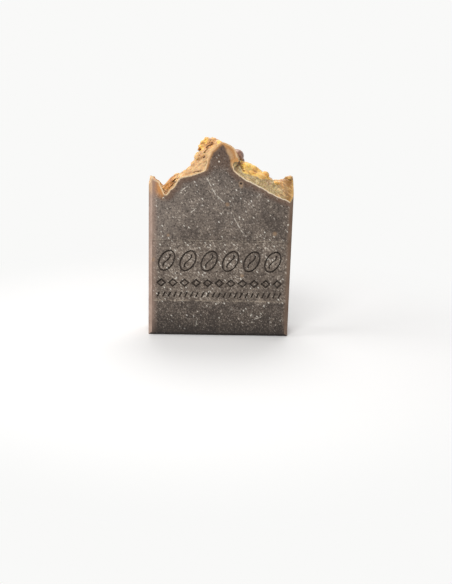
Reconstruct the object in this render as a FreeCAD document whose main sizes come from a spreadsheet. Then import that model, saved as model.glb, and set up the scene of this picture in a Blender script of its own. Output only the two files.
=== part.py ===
import FreeCAD, Part

import math
import os

import Sketcher
from FreeCAD import Placement, Rotation, Vector

# One bar of hand-cut coffee soap. It is a slice across a poured loaf: two flat cut faces, walls left
# by the mould, and a top that was worked with a spoon while soft. Whole roasted coffee beans sit in a
# hollow of that top.
# Frame: origin at the middle of the foot, +X to the right of the stamped face, +Y from that face to
# the back, +Z up.

SIZES = {
    # the slice
    "bar_width": 70.0,
    "bar_thickness": 20.0,
    "shoulder_height": 76.0,
    "peak_height": 96.5,
    "peak_offset": -0.5,
    "edge_bevel": 1.8,
    "blank_headroom": 8.0,
    # how far behind the stamped face each section of the worked top lies
    "crust_depth": 2.5,
    "ridge_depth": 6.0,
    "hollow_depth": 10.0,
    "dip_depth": 14.0,
    "rear_depth": 17.5,
    # coffee beans
    "bean_length": 10.0,
    "bean_width": 6.6,
    "bean_belly": 1.2,
    "crease_width": 0.8,
    "crease_depth": 0.6,
    # the stamped panel and its plain ornament
    "stamp_margin": 1.9,
    "stamp_bottom": 18.4,
    "stamp_height": 30.4,
    "panel_sink": 0.3,
    "groove_depth": 0.9,
    "groove_width": 0.85,
    "motif_inset": 7.0,
    "motif_level": 38.6,
    "motif_length": 11.6,
    "motif_breadth": 7.6,
    "motif_tilt": 62.0,
    "motif_count": 6,
    "seam_rise": 6.6,
    "seam_lean": 3.2,
    "lozenge_level": 27.4,
    "lozenge_length": 5.2,
    "lozenge_height": 4.6,
    "lozenge_inset": 4.4,
    "lozenge_count": 11,
    "tick_level": 21.4,
    "tick_rise": 2.6,
    "tick_lean": 1.1,
    "tick_inset": 3.0,
    "tick_count": 23,
}

# The worked top, cut across at seven depths. Each outline runs from the left wall to the right one:
# wall, horn, notch, flank and ledge; foot, shoulder and crown of the peak and its nose; flank, saddle
# and wall.
# Left: (inset from the left wall, height above the shoulder). Peak: (offset from the peak, drop below it).
# Right: (inset from the right wall, height above the shoulder).
FRONT_CUT = {
    "left": [
        (0, -1.5), (1.8, 3.4), (5.6, 1.0), (7.8, -4.7),
        (12.0, -1.2), (13.3, 1.5), (16.5, 4.1), (22.6, 5.5),
    ],
    "peak": [
        (-7.5, 13.5), (-6.1, 8.5), (-4.5, 3.5), (0, 0),
        (4.3, 1.2), (6.3, 2.7), (8.3, 8.0), (5.3, 11.5),
    ],
    "right": [(23.9, 3.4), (15.4, -0.8), (7.8, -4.8), (2.3, -7.1), (0, -9.6)],
}
BEHIND_FRONT = {
    "left": [
        (0, -0.5), (1.6, 2.6), (4.5, 0), (7.0, -5.5),
        (9.4, -4.5), (11.2, 1.3), (16.2, 5.8), (21.0, 9.5),
    ],
    "peak": [
        (-10.0, 10.0), (-9.8, 5.5), (-7.0, 2.0), (-2.0, -0.1),
        (3.5, 1.1), (6.7, 3.3), (9.1, 7.9), (7.1, 11.9),
    ],
    "right": [(23.0, 5.8), (15.0, 2.2), (8.0, -1.6), (3.0, -1.5), (0, -2.5)],
}
RIDGE = {
    "left": [
        (0, 0), (1.5, 2.2), (4.1, -0.4), (6.4, -3.5),
        (9.5, 0.4), (12.2, 3.6), (16.7, 6.4), (20.6, 10.6),
    ],
    "peak": [
        (-12.0, 6.8), (-10.8, 2.6), (-8.2, -1.4), (-2.7, -1.6),
        (2.0, 2.5), (5.9, 4.9), (8.6, 8.2), (8.8, 11.3),
    ],
    "right": [(21.1, 8.2), (14.8, 5.6), (10.0, 2.4), (3.5, 3.0), (0, 1.0)],
}
HOLLOW = {
    "left": [
        (0, 1.0), (1.5, 2.0), (4.0, -0.8), (6.0, -2.4),
        (9.6, 1.1), (12.1, 3.0), (16.6, 5.6), (20.5, 9.9),
    ],
    "peak": [
        (-12.3, 7.3), (-10.9, 3.4), (-8.0, -0.4), (-3.7, -0.7),
        (-1.5, 6.0), (5.0, 8.4), (9.4, 9.8), (11.8, 9.9),
    ],
    "right": [(20.6, 10.3), (14.2, 5.9), (10.0, 1.9), (4.0, 3.8), (0, 4.0)],
}
DIP = {
    "left": [
        (0, 2.2), (1.7, 2.4), (4.4, -2.2), (6.6, -3.6),
        (10.0, -1.2), (13.5, 2.0), (18.0, 5.2), (21.0, 8.0),
    ],
    "peak": [
        (-12.1, 9.9), (-9.9, 6.3), (-7.1, 2.9), (-4.1, 4.9),
        (-1.3, 8.5), (4.5, 9.9), (9.9, 10.1), (12.9, 11.3),
    ],
    "right": [(18.8, 6.4), (13.5, 3.0), (8.5, -0.6), (4.0, 0.6), (0, 3.0)],
}
BEFORE_BACK = {
    "left": [
        (0, 1.6), (1.8, 1.0), (4.8, -2.8), (7.2, -4.4),
        (11.0, -0.4), (15.0, 3.4), (19.0, 5.8), (22.0, 7.6),
    ],
    "peak": [
        (-11.1, 11.1), (-9.1, 7.3), (-6.3, 4.1), (-3.1, 3.1),
        (1.0, 4.7), (5.3, 6.9), (9.7, 10.3), (12.5, 13.1),
    ],
    "right": [(19.0, 5.4), (13.5, 3.4), (8.6, 0), (4.0, 0.2), (0, 1.8)],
}
BACK_CUT = {
    "left": [
        (0, 0.2), (1.6, 0.8), (5.0, -2.2), (7.8, -4.2),
        (11.4, -1.2), (15.2, 2.0), (19.5, 4.4), (23.0, 5.6),
    ],
    "peak": [
        (-9.3, 12.9), (-7.1, 9.1), (-4.9, 4.9), (-1.1, 2.1),
        (3.7, 3.3), (6.7, 5.9), (9.1, 10.1), (10.7, 13.3),
    ],
    "right": [(20.0, 4.8), (14.2, 3.2), (9.2, 0.2), (4.0, 0.8), (0, 1.6)],
}

# Each bean: (offset from the peak, depth behind the stamped face, drop below the peak), then its yaw,
# pitch and roll in degrees. At no turn it lies along X with its round side up.
BEANS = {
    "bean_on_right_slope": ((7.5, 8.4, 7.2), (60, 4, 14)),
    "bean_behind_peak": ((-1.4, 13.2, 6.2), (-20, 8, -10)),
    "bean_at_back_right": ((7.0, 15.9, 10.2), (-8, 10, -12)),
}

# The oval that a bean is turned from has this many straight chords on each side of its axis.
BEAN_CHORDS = 8

# Each sketch below is first drawn roughly to size, and its named dimensions then bring it to the
# sheet's values.


def sheet_of_sizes(doc):
    """The driving dimensions, one named cell each, in millimetres and degrees."""
    sheet = doc.addObject("Spreadsheet::Sheet", "sizes")
    for row, (name, value) in enumerate(SIZES.items(), start=1):
        sheet.set(f"A{row}", name)
        sheet.set(f"B{row}", str(value))
        sheet.setAlias(f"B{row}", name)
    doc.recompute()
    return sheet


def origin_plane(body, role):
    return next(f for f in body.Origin.OriginFeatures if f.Role == role)


def sketch_on(body, name, role, lift=None):
    """An empty sketch on one of the body's origin planes, moved along its normal by an expression."""
    sketch = body.newObject("Sketcher::SketchObject", name)
    sketch.AttachmentSupport = [(origin_plane(body, role), "")]
    sketch.MapMode = "FlatFace"
    if lift:
        sketch.setExpression("AttachmentOffset.Base.z", lift)
    return sketch


def closed_loop(sketch, points):
    """Straight edges through the points, joined end to end. Returns the first edge's index."""
    first = sketch.GeometryCount
    for start, end in zip(points, points[1:] + points[:1]):
        sketch.addGeometry(Part.LineSegment(Vector(*start, 0), Vector(*end, 0)))
    for i in range(len(points)):
        after = first + (i + 1) % len(points)
        sketch.addConstraint(constraint("Coincident", first + i, 2, after, 1))
    return first


def constraint(*words):
    return Sketcher.Constraint(*words)


def bound(sketch, name, words, expression):
    """A named dimension of the sketch that follows an expression on the sheet."""
    index = sketch.addConstraint(constraint(*words))
    sketch.renameConstraint(index, name)
    sketch.setExpression(f"Constraints.{name}", expression)


def rectangle(sketch, width, height, bottom=None):
    """A rectangle centred left to right, and centred up and down unless its bottom edge has a height."""
    low = -8 if bottom is None else 18
    edge = closed_loop(sketch, [(-30, low), (30, low), (30, low + 16), (-30, low + 16)])
    for i, way in enumerate(("Vertical", "Horizontal", "Vertical"), start=1):
        sketch.addConstraint(constraint(way, edge + i))
    bound(sketch, "width", ("DistanceX", edge, 1, edge, 2, 60), width)
    bound(sketch, "height", ("DistanceY", edge + 1, 1, edge + 1, 2, 16), height)
    if bottom is None:
        sketch.addConstraint(constraint("Horizontal", edge))
        sketch.addConstraint(constraint("Symmetric", edge, 1, edge + 2, 1, -1, 1))
    else:
        sketch.addConstraint(constraint("Symmetric", edge, 1, edge, 2, -2))
        bound(sketch, "bottom", ("DistanceY", -1, 1, edge, 1, low), bottom)


def ellipse(sketch, name, length, breadth, across, up, tilt):
    """A tilted ellipse whose axes, centre and tilt follow the sheet."""
    index = sketch.GeometryCount
    guess = Part.Ellipse(Vector(-20, 38, 0), 5, 3)
    guess.rotate(Placement(Vector(), Rotation(Vector(0, 0, 1), 60), Vector(-20, 38, 0)))
    sketch.addGeometry(guess)
    sketch.exposeInternalGeometry(index)
    long_axis = index + 1
    short_axis = index + 2
    bound(sketch, name + "_length", ("Distance", long_axis, 10), length)
    bound(sketch, name + "_breadth", ("Distance", short_axis, 6), breadth)
    bound(sketch, name + "_across", ("DistanceX", -1, 1, index, 3, -20), across)
    bound(sketch, name + "_up", ("DistanceY", -1, 1, index, 3, 38), up)
    bound(sketch, name + "_tilt", ("Angle", -1, 1, long_axis, 1, math.radians(60)), tilt)


def rhombus(sketch, name, length, height, across, up):
    """A rhombus standing on its point."""
    edge = closed_loop(sketch, [(-22, 27), (-20, 25), (-18, 27), (-20, 29)])
    sketch.addConstraint(constraint("Horizontal", edge, 1, edge + 2, 1))
    sketch.addConstraint(constraint("Vertical", edge + 1, 1, edge + 3, 1))
    sketch.addConstraint(constraint("Equal", edge, edge + 1))
    sketch.addConstraint(constraint("Equal", edge + 1, edge + 2))
    bound(sketch, name + "_length", ("DistanceX", edge, 1, edge + 2, 1, 4), length)
    bound(sketch, name + "_height", ("DistanceY", edge + 1, 1, edge + 3, 1, 4), height)
    bound(sketch, name + "_across", ("DistanceX", -1, 1, edge + 1, 1, -20), across)
    bound(sketch, name + "_up", ("DistanceY", -1, 1, edge, 1, 27), up)


def stroke(sketch, name, rise, lean, across, up):
    """A leaning stroke, one groove wide, with level ends and its middle at the place given."""
    edge = closed_loop(sketch, [(-21, 24), (-20, 24), (-19, 30), (-20, 30)])
    sketch.addConstraint(constraint("Horizontal", edge))
    sketch.addConstraint(constraint("Horizontal", edge + 2))
    sketch.addConstraint(constraint("Equal", edge, edge + 2))
    bound(sketch, name + "_width", ("DistanceX", edge, 1, edge, 2, 1), "sizes.groove_width")
    bound(sketch, name + "_rise", ("DistanceY", edge, 1, edge + 2, 2, 6), rise)
    bound(sketch, name + "_lean", ("DistanceX", edge, 1, edge + 2, 2, 1), lean)
    bound(sketch, name + "_across", ("DistanceX", -1, 1, edge, 1, -21),
          f"{across} - ({lean} + sizes.groove_width) / 2")
    bound(sketch, name + "_up", ("DistanceY", -1, 1, edge, 1, 24), f"{up} - {rise} / 2")


def pocket(body, name, sketch, depth):
    cut = body.newObject("PartDesign::Pocket", name)
    cut.Profile = sketch
    cut.setExpression("Length", depth)
    return cut


def row_of(body, name, feature, sketch, inset, count):
    """Copies of a pocket across the panel, from one inset to the other."""
    row = body.newObject("PartDesign::LinearPattern", name)
    row.Originals = [feature]
    row.Direction = (sketch, ["H_Axis"])
    row.setExpression("Length", f"sizes.bar_width - 2 * (sizes.stamp_margin + {inset})")
    row.setExpression("Occurrences", count)
    body.Tip = row
    return row


def planed_slab(doc):
    """The slice as a plain slab with the edges of both cut faces planed off, and the stamp in its front."""
    body = doc.addObject("PartDesign::Body", "slab")
    foot = sketch_on(body, "foot", "XY_Plane")
    rectangle(foot, "sizes.bar_width", "sizes.bar_thickness")
    blank = body.newObject("PartDesign::Pad", "blank")
    blank.Profile = foot
    blank.setExpression("Length", "sizes.peak_height + sizes.blank_headroom")
    doc.recompute()

    bevel = body.newObject("PartDesign::Chamfer", "planed_edges")
    bevel.Base = (blank, planed_edge_names(blank.Shape))
    bevel.setExpression("Size", "sizes.edge_bevel")
    doc.recompute()

    add_stamp(doc, body)
    return body


def planed_edge_names(shape):
    """The upright edges, and the long edges at the foot: those around the two cut faces."""
    names = []
    for i, edge in enumerate(shape.Edges, start=1):
        run = edge.BoundBox
        upright = run.ZLength > run.XLength and run.ZLength > run.YLength
        at_foot = run.ZMax < 0.001 and run.XLength > run.YLength
        if upright or at_foot:
            names.append(f"Edge{i}")
    return names


def add_stamp(doc, body):
    """A sunk panel with a row of engraved beans, a row of lozenges and a row of ticks."""
    face = "sizes.bar_thickness / 2"
    sunk_face = "sizes.bar_thickness / 2 - sizes.panel_sink"
    half_row = "-sizes.bar_width / 2 + sizes.stamp_margin + sizes."

    panel = sketch_on(body, "panel_outline", "XZ_Plane", face)
    width = "sizes.bar_width - 2 * sizes.stamp_margin"
    rectangle(panel, width, "sizes.stamp_height", "sizes.stamp_bottom")
    pocket(body, "panel", panel, "sizes.panel_sink")
    doc.recompute()

    bean = sketch_on(body, "bean_outline", "XZ_Plane", sunk_face)
    place = (half_row + "motif_inset", "sizes.motif_level")
    ellipse(bean, "rim", "sizes.motif_length", "sizes.motif_breadth", *place, "sizes.motif_tilt")
    ellipse(bean, "inside", "sizes.motif_length - 2 * sizes.groove_width",
            "sizes.motif_breadth - 2 * sizes.groove_width", *place, "sizes.motif_tilt")
    stroke(bean, "seam", "sizes.seam_rise", "sizes.seam_lean", *place)
    doc.recompute()
    engraved = pocket(body, "engraved_bean", bean, "sizes.groove_depth")
    doc.recompute()
    row_of(body, "bean_row", engraved, bean, "sizes.motif_inset", "sizes.motif_count")
    doc.recompute()

    lozenge = sketch_on(body, "lozenge_outline", "XZ_Plane", sunk_face)
    place = (half_row + "lozenge_inset", "sizes.lozenge_level")
    rhombus(lozenge, "rim", "sizes.lozenge_length", "sizes.lozenge_height", *place)
    rhombus(lozenge, "inside", "sizes.lozenge_length - 3 * sizes.groove_width",
            "sizes.lozenge_height - 3 * sizes.groove_width", *place)
    doc.recompute()
    engraved = pocket(body, "engraved_lozenge", lozenge, "sizes.groove_depth")
    doc.recompute()
    row_of(body, "lozenge_row", engraved, lozenge, "sizes.lozenge_inset", "sizes.lozenge_count")
    doc.recompute()

    tick = sketch_on(body, "tick_outline", "XZ_Plane", sunk_face)
    place = (half_row + "tick_inset", "sizes.tick_level")
    stroke(tick, "tick", "sizes.tick_rise", "sizes.tick_lean", *place)
    doc.recompute()
    engraved = pocket(body, "engraved_tick", tick, "sizes.groove_depth")
    doc.recompute()
    row_of(body, "tick_row", engraved, tick, "sizes.tick_inset", "sizes.tick_count")
    doc.recompute()


def cut_across(sheet, outline, depth):
    """The corners of one section at a depth behind the front: its top, then the foot of each wall."""
    half_width = sheet.bar_width / 2
    peak_x = sheet.peak_offset
    top = [(inset - half_width, sheet.shoulder_height + rise) for inset, rise in outline["left"]]
    top += [(peak_x + offset, sheet.peak_height - drop) for offset, drop in outline["peak"]]
    top += [(half_width - inset, sheet.shoulder_height + rise) for inset, rise in outline["right"]]
    corners = [*top, (half_width, 0), (-half_width, 0)]
    y = depth - sheet.bar_thickness / 2
    return [Vector(x, y, z) for x, z in corners]


def flat_face(corners):
    return Part.Face(Part.makePolygon([*corners, corners[0]]))


def facets_between(near, far):
    """Two flat facets for each pair of neighbouring corners of one section and the next."""
    faces = []
    for i in range(len(near)):
        j = (i + 1) % len(near)
        faces.append(flat_face([near[i], near[j], far[j]]))
        faces.append(flat_face([near[i], far[j], far[i]]))
    return faces


def loaf_slice(doc, sheet):
    """The slice as the spoon left it: flat facets from each section to the next, closed by the two cuts."""
    sections = [
        cut_across(sheet, FRONT_CUT, 0),
        cut_across(sheet, BEHIND_FRONT, sheet.crust_depth),
        cut_across(sheet, RIDGE, sheet.ridge_depth),
        cut_across(sheet, HOLLOW, sheet.hollow_depth),
        cut_across(sheet, DIP, sheet.dip_depth),
        cut_across(sheet, BEFORE_BACK, sheet.rear_depth),
        cut_across(sheet, BACK_CUT, sheet.bar_thickness),
    ]
    faces = [flat_face(sections[0]), flat_face(sections[-1])]
    for near, far in zip(sections, sections[1:]):
        faces += facets_between(near, far)
    solid = Part.Solid(Part.makeShell(faces))
    worked = doc.addObject("Part::Feature", "worked_top")
    worked.Shape = solid if solid.Volume > 0 else solid.reversed()
    return worked


def box_under(doc, name, width, height, top):
    """A block as long as a bean, centred on its axis, with its top at the height given."""
    block = doc.addObject("Part::Box", name)
    block.setExpression("Length", "sizes.bean_length")
    block.setExpression("Width", width)
    block.setExpression("Height", height)
    block.setExpression("Placement.Base.x", "-sizes.bean_length / 2")
    block.setExpression("Placement.Base.y", f"-{width} / 2")
    block.setExpression("Placement.Base.z", f"{top} - {height}")
    return block


def coffee_bean(doc, sheet, name, place, turn):
    """A roasted bean: an oval turned about its long axis, with a flat belly and a crease along it."""
    outline = []
    for i in range(BEAN_CHORDS + 1):
        angle = math.pi * i / BEAN_CHORDS
        along = -sheet.bean_length / 2 * math.cos(angle)
        outline.append(Vector(along, sheet.bean_width / 2 * math.sin(angle), 0))
    blank = doc.addObject("Part::Feature", name + "_blank")
    blank.Shape = flat_face(outline).revolve(Vector(), Vector(1, 0, 0), 360)

    belly = box_under(doc, name + "_below_belly",
                      "sizes.bean_width", "sizes.bean_width / 2", "-sizes.bean_belly")
    top_of_crease = "sizes.crease_depth - sizes.bean_belly"
    crease = box_under(doc, name + "_crease",
                       "sizes.crease_width", "2 * sizes.crease_depth", top_of_crease)
    cutters = doc.addObject("Part::MultiFuse", name + "_cutters")
    cutters.Shapes = [belly, crease]
    bean = doc.addObject("Part::Cut", name)
    bean.Base = blank
    bean.Tool = cutters

    offset, depth, drop = place
    across = sheet.peak_offset + offset
    spot = Vector(across, depth - sheet.bar_thickness / 2, sheet.peak_height - drop)
    bean.Placement = Placement(spot, Rotation(*turn))
    return bean


def soap_bar(doc, slab, worked, beans):
    """What the planed slab and the worked slice have in common, less the seat of each bean."""
    planed = doc.addObject("Part::Common", "planed_slice")
    planed.Base = slab
    planed.Tool = worked
    planed.Refine = True
    pressed = doc.addObject("Part::MultiFuse", "pressed_beans")
    pressed.Shapes = beans
    bar = doc.addObject("Part::Cut", "soap_bar")
    bar.Base = planed
    bar.Tool = pressed
    return bar


def check(doc, pieces):
    """Stops the build if any step failed, or if a piece isn't one valid solid."""
    for step in doc.Objects:
        if any(word in step.State for word in ("Invalid", "Error")):
            raise RuntimeError(f"{step.Label} failed: {step.State}")
    for piece in pieces:
        shape = piece.Shape
        if shape.isNull() or not shape.isValid() or len(shape.Solids) != 1:
            raise RuntimeError(f"{piece.Label} isn't one valid solid")


def main():
    doc = FreeCAD.newDocument("coffee_soap")
    sheet = sheet_of_sizes(doc)
    slab = planed_slab(doc)
    worked = loaf_slice(doc, sheet)
    beans = [coffee_bean(doc, sheet, name, *seat) for name, seat in BEANS.items()]
    bar = soap_bar(doc, slab, worked, beans)
    doc.recompute()

    pieces = [bar, *beans]
    check(doc, pieces)
    os.makedirs("parts", exist_ok=True)
    for piece in pieces:
        piece.Shape.exportStep(f"parts/{piece.Label}.step")
        box = piece.Shape.BoundBox
        size = f"{box.XLength:.1f} x {box.YLength:.1f} x {box.ZLength:.1f} mm"
        print(f"{piece.Label}: {piece.Shape.Volume:.0f} mm3, {size}")


main()
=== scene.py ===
# %% [markdown]
# A bar of coffee soap is a slice of a poured loaf: a dark speckled core under a caramel crust that was
# worked with a spoon while it was soft, with whole roasted beans pressed into it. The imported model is
# loaded first and never changed, so every piece below is made where that frame says.

# %% Load the frame
import math
import random
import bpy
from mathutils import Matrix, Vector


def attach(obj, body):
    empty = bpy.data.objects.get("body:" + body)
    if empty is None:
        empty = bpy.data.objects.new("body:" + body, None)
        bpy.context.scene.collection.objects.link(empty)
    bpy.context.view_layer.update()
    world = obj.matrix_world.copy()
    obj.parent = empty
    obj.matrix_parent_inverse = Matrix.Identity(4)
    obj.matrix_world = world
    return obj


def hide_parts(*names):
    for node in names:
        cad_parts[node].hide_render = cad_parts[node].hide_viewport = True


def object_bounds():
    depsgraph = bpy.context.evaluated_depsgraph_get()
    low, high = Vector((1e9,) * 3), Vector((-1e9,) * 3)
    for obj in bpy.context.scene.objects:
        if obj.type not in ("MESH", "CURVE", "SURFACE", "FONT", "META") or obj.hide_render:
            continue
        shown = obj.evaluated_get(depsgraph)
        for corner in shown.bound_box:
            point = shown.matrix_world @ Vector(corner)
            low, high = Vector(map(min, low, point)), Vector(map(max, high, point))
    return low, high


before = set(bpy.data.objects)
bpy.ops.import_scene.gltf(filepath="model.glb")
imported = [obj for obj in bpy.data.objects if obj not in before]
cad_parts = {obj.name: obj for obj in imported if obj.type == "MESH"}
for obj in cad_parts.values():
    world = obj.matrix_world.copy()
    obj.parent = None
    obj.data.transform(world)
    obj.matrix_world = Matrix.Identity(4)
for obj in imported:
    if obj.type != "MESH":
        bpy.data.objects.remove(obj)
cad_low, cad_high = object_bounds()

from types import SimpleNamespace

import bpy
import numpy as np
from mathutils import Euler, Vector
from mathutils.kdtree import KDTree

MM = 0.001
print("CAD box in mm:", [round(v / MM, 1) for v in (*cad_low, *cad_high)])

# %% [markdown]
# The camera comes first, because everything is judged through it. It stands in front of the stamped
# face, a little to the left and well above, and looks down by about sixteen degrees. Its small roll
# is part of the view: without it the bar would stand upright in the picture, and it leans slightly.

# %% Camera
EYE = Vector((-0.0115, -0.4202, 0.1387))
LOOKED_AT = Vector((0.0034, -0.0100, 0.0231))
ROLL = 1.535

aim = (LOOKED_AT - EYE).to_track_quat("-Z", "Y")
aim = aim @ Euler((0, 0, math.radians(ROLL))).to_quaternion()
bpy.ops.object.camera_add(location=EYE, rotation=aim.to_euler())
camera = bpy.context.object
camera.name = "camera"
camera.data.lens = 53.0
camera.data.sensor_width = 36.0
camera.data.clip_start = 0.01
bpy.context.scene.camera = camera
print("camera", [round(v, 3) for v in EYE], "lens", camera.data.lens)

# %% [markdown]
# Most shapes here are made in the workshop's own unit, the millimetre, and brought to metres at the very end.
# A few small helpers save repeating the same clicks: pick one piece and nothing else, add a modifier and
# apply it, join several pieces into one, cut one with another, and drop loose bits.

# %% Workshop helpers
def pick(*pieces):
    """Selects these pieces alone; the first becomes the active one."""
    bpy.ops.object.select_all(action="DESELECT")
    for piece in pieces:
        piece.select_set(True)
    bpy.context.view_layer.objects.active = pieces[0]


def apply_modifier(piece, kind, **settings):
    pick(piece)
    step = piece.modifiers.new(kind.lower(), kind)
    for word, value in settings.items():
        setattr(step, word, value)
    bpy.ops.object.modifier_apply(modifier=step.name)


def boolean(piece, operation, tool):
    apply_modifier(piece, "BOOLEAN", operation=operation, solver="MANIFOLD", object=tool)


def cut_away(piece, tool):
    boolean(piece, "DIFFERENCE", tool)
    bpy.data.objects.remove(tool)


def join(pieces, name):
    pick(*pieces)
    bpy.ops.object.join()
    pieces[0].name = name
    return pieces[0]


def settle(piece):
    """Bakes the piece's place and turn into its mesh, so that its origin is the bar's."""
    pick(piece)
    bpy.ops.object.transform_apply(location=True, rotation=True, scale=True)


def places(piece):
    """All the vertices of a piece as rows of x, y, z."""
    flat = np.empty(len(piece.data.vertices) * 3, dtype=np.float32)
    piece.data.vertices.foreach_get("co", flat)
    return flat.reshape(-1, 3)


def put_places(piece, rows):
    piece.data.vertices.foreach_set("co", np.ascontiguousarray(rows, dtype=np.float32).ravel())
    piece.data.update()


def near(rows, centre, radius):
    """1 within the radius of the centre, fading to 0 at twice the radius."""
    gap = np.linalg.norm(rows - np.array(centre), axis=1)
    return np.clip(2 - gap / radius, 0, 1)


def strongest(rows, spheres):
    return np.max([near(rows, centre, radius) for centre, radius in spheres], axis=0)


def edit(select="SELECT"):
    """Goes into edit mode with everything or nothing selected."""
    bpy.ops.object.mode_set(mode="EDIT")
    bpy.ops.mesh.select_all(action=select)


def leave_edit():
    bpy.ops.object.mode_set(mode="OBJECT")


def leave_edit_facing_out():
    """Turns every face outwards, and goes back to object mode."""
    bpy.ops.mesh.select_all(action="SELECT")
    bpy.ops.mesh.normals_make_consistent(inside=False)
    leave_edit()


def largest_part(piece):
    """Drops every loose bit but the one with the most vertices."""
    pick(piece)
    edit()
    bpy.ops.mesh.separate(type="LOOSE")
    leave_edit()
    parts = sorted(bpy.context.selected_objects, key=lambda part: len(part.data.vertices))
    for scrap in parts[:-1]:
        bpy.data.objects.remove(scrap)
    return parts[-1]


def size_of(piece):
    rows = places(piece)
    return len(piece.data.polygons), rows.min(axis=0).round(2).tolist(), rows.max(axis=0).round(2).tolist()


# %% [markdown]
# The worked top is one surface that runs from mould wall to mould wall. It could be a height map, but
# the peak has a nose that hangs over its flank, so it starts as a plain grid instead: each row of the
# grid is laid along one cross-section of the top, and each column follows one feature from front to
# back. The loaf is made longer than the slice, and cut to length later, as the soap maker does it.

# %% Cross-sections of the worked top
HALF_WIDTH = round(cad_high[0] / MM, 3)
HALF_THICKNESS = round(cad_high[1] / MM, 3)
WALL_OF_LOAF = HALF_WIDTH + 0.5
END_OF_LOAF = HALF_THICKNESS + 2
SHOULDER = 76.0
PEAK_HEIGHT = 96.5
PEAK_X = -0.5

SECTIONS = {
    # by depth behind the front face: corners left of the peak, round it and right of it, given by how
    # far in from the wall or from the peak's middle, and how far over the shoulder or under the peak
    0.0: (
        [(0, -1.5), (1.8, 3.4), (5.6, 1.0), (7.8, -4.7), (12.0, -1.2), (13.3, 1.5), (16.5, 4.1), (22.6, 5.5)],
        [(-7.5, 13.5), (-6.1, 8.5), (-4.5, 3.5), (0, 0), (4.3, 1.2),
         (6.3, 2.7), (8.3, 8.0), (5.3, 11.5)],
        [(23.9, 3.4), (15.4, -0.8), (7.8, -4.8), (2.3, -7.1), (0, -9.6)],
    ),
    2.5: (
        [(0, -0.5), (1.6, 2.6), (4.5, 0), (7.0, -5.5), (9.4, -4.5), (11.2, 1.3), (16.2, 5.2), (21.3, 8.6)],
        [(-10.0, 10.0), (-9.8, 5.5), (-7.0, 2.0), (-2.0, -0.1), (3.5, 1.1),
         (6.7, 3.3), (9.1, 7.9), (7.1, 11.9)],
        [(23.0, 5.8), (15.0, 2.2), (8.0, -1.6), (3.0, -1.5), (0, -2.5)],
    ),
    6.0: (
        [(0, 0), (1.5, 2.2), (4.1, -0.4), (6.4, -3.5), (9.5, 0.4), (12.2, 3.4), (16.7, 5.6), (21.1, 9.2)],
        [(-12.0, 6.8), (-10.8, 2.6), (-8.2, -1.4), (-2.7, -1.6), (2.0, 2.5),
         (5.9, 4.9), (8.6, 8.2), (8.8, 11.3)],
        [(21.1, 7.9), (14.8, 5.3), (8.8, 1.5), (3.4, 2.6), (0, 1.6)],
    ),
    10.0: (
        [(0, 1.0), (1.5, 2.0), (4.0, -0.8), (6.0, -2.4), (9.6, 1.1), (12.1, 2.8), (16.6, 4.9), (21.0, 8.5)],
        [(-12.3, 7.3), (-10.9, 3.4), (-8.0, -0.4), (-3.7, -0.7), (-1.5, 6.0),
         (5.0, 8.4), (9.4, 9.8), (11.8, 9.9)],
        [(20.6, 9.9), (14.2, 5.6), (8.6, 1.2), (3.5, 3.2), (0, 4.0)],
    ),
    14.0: (
        [(0, 2.2), (1.7, 2.4), (4.4, -2.2), (6.6, -3.6), (10.0, -1.2), (13.5, 2.0), (18.0, 5.2), (21.0, 8.0)],
        [(-12.1, 9.9), (-9.9, 6.3), (-7.1, 2.9), (-4.1, 4.9), (-1.3, 8.5),
         (4.5, 9.9), (9.9, 10.1), (12.9, 11.3)],
        [(18.8, 6.4), (13.5, 3.0), (8.5, -0.6), (4.0, 0.6), (0, 3.0)],
    ),
    17.5: (
        [(0, 1.6), (1.8, 1.0), (4.8, -2.8), (7.2, -4.4), (11.0, -0.4), (15.0, 3.4), (19.0, 5.8), (22.0, 7.6)],
        [(-11.1, 11.1), (-9.1, 7.3), (-6.3, 4.1), (-3.1, 3.1), (1.0, 4.7),
         (5.3, 6.9), (9.7, 10.3), (12.5, 13.1)],
        [(19.0, 5.4), (13.5, 3.4), (8.6, 0), (4.0, 0.2), (0, 1.8)],
    ),
    20.0: (
        [(0, 0.2), (1.6, 0.8), (5.0, -2.2), (7.8, -4.2), (11.4, -1.2), (15.2, 2.0), (19.5, 4.4), (23.0, 5.6)],
        [(-9.3, 12.9), (-7.1, 9.1), (-4.9, 4.9), (-1.1, 2.1), (3.7, 3.3),
         (6.7, 5.9), (9.1, 10.1), (10.7, 13.3)],
        [(20.0, 4.8), (14.2, 3.2), (9.2, 0.2), (4.0, 0.8), (0, 1.6)],
    ),
}


def section_line(depth):
    """The section's corners from wall to wall, as (x, z) in mm. The walls are moved out past the mould."""
    left, peak, right = SECTIONS[depth]
    line = [(inset - HALF_WIDTH, SHOULDER + rise) for inset, rise in left]
    line += [(PEAK_X + offset, PEAK_HEIGHT - drop) for offset, drop in peak]
    line += [(HALF_WIDTH - inset, SHOULDER + rise) for inset, rise in right]
    line[0] = (-WALL_OF_LOAF, line[0][1])
    line[-1] = (WALL_OF_LOAF, line[-1][1])
    return line


print("sections at", list(SECTIONS), "mm behind the face,", len(section_line(0.0)), "corners each")

# %% [markdown]
# Blender's grid comes with its corners in rows, so they can be moved one by one onto the sections.
# The end rows repeat the cut faces' sections a little lower, which gives the cut some stock. A plain
# subdivision and a light smoothing follow, and then the border is drawn down to close the block.

# %% Lay a grid along the sections
FLOOR_OF_TOP = 56.0
OFF_THE_FACE = HALF_THICKNESS + 0.4
FRONT, *INNER, BACK = SECTIONS


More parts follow.
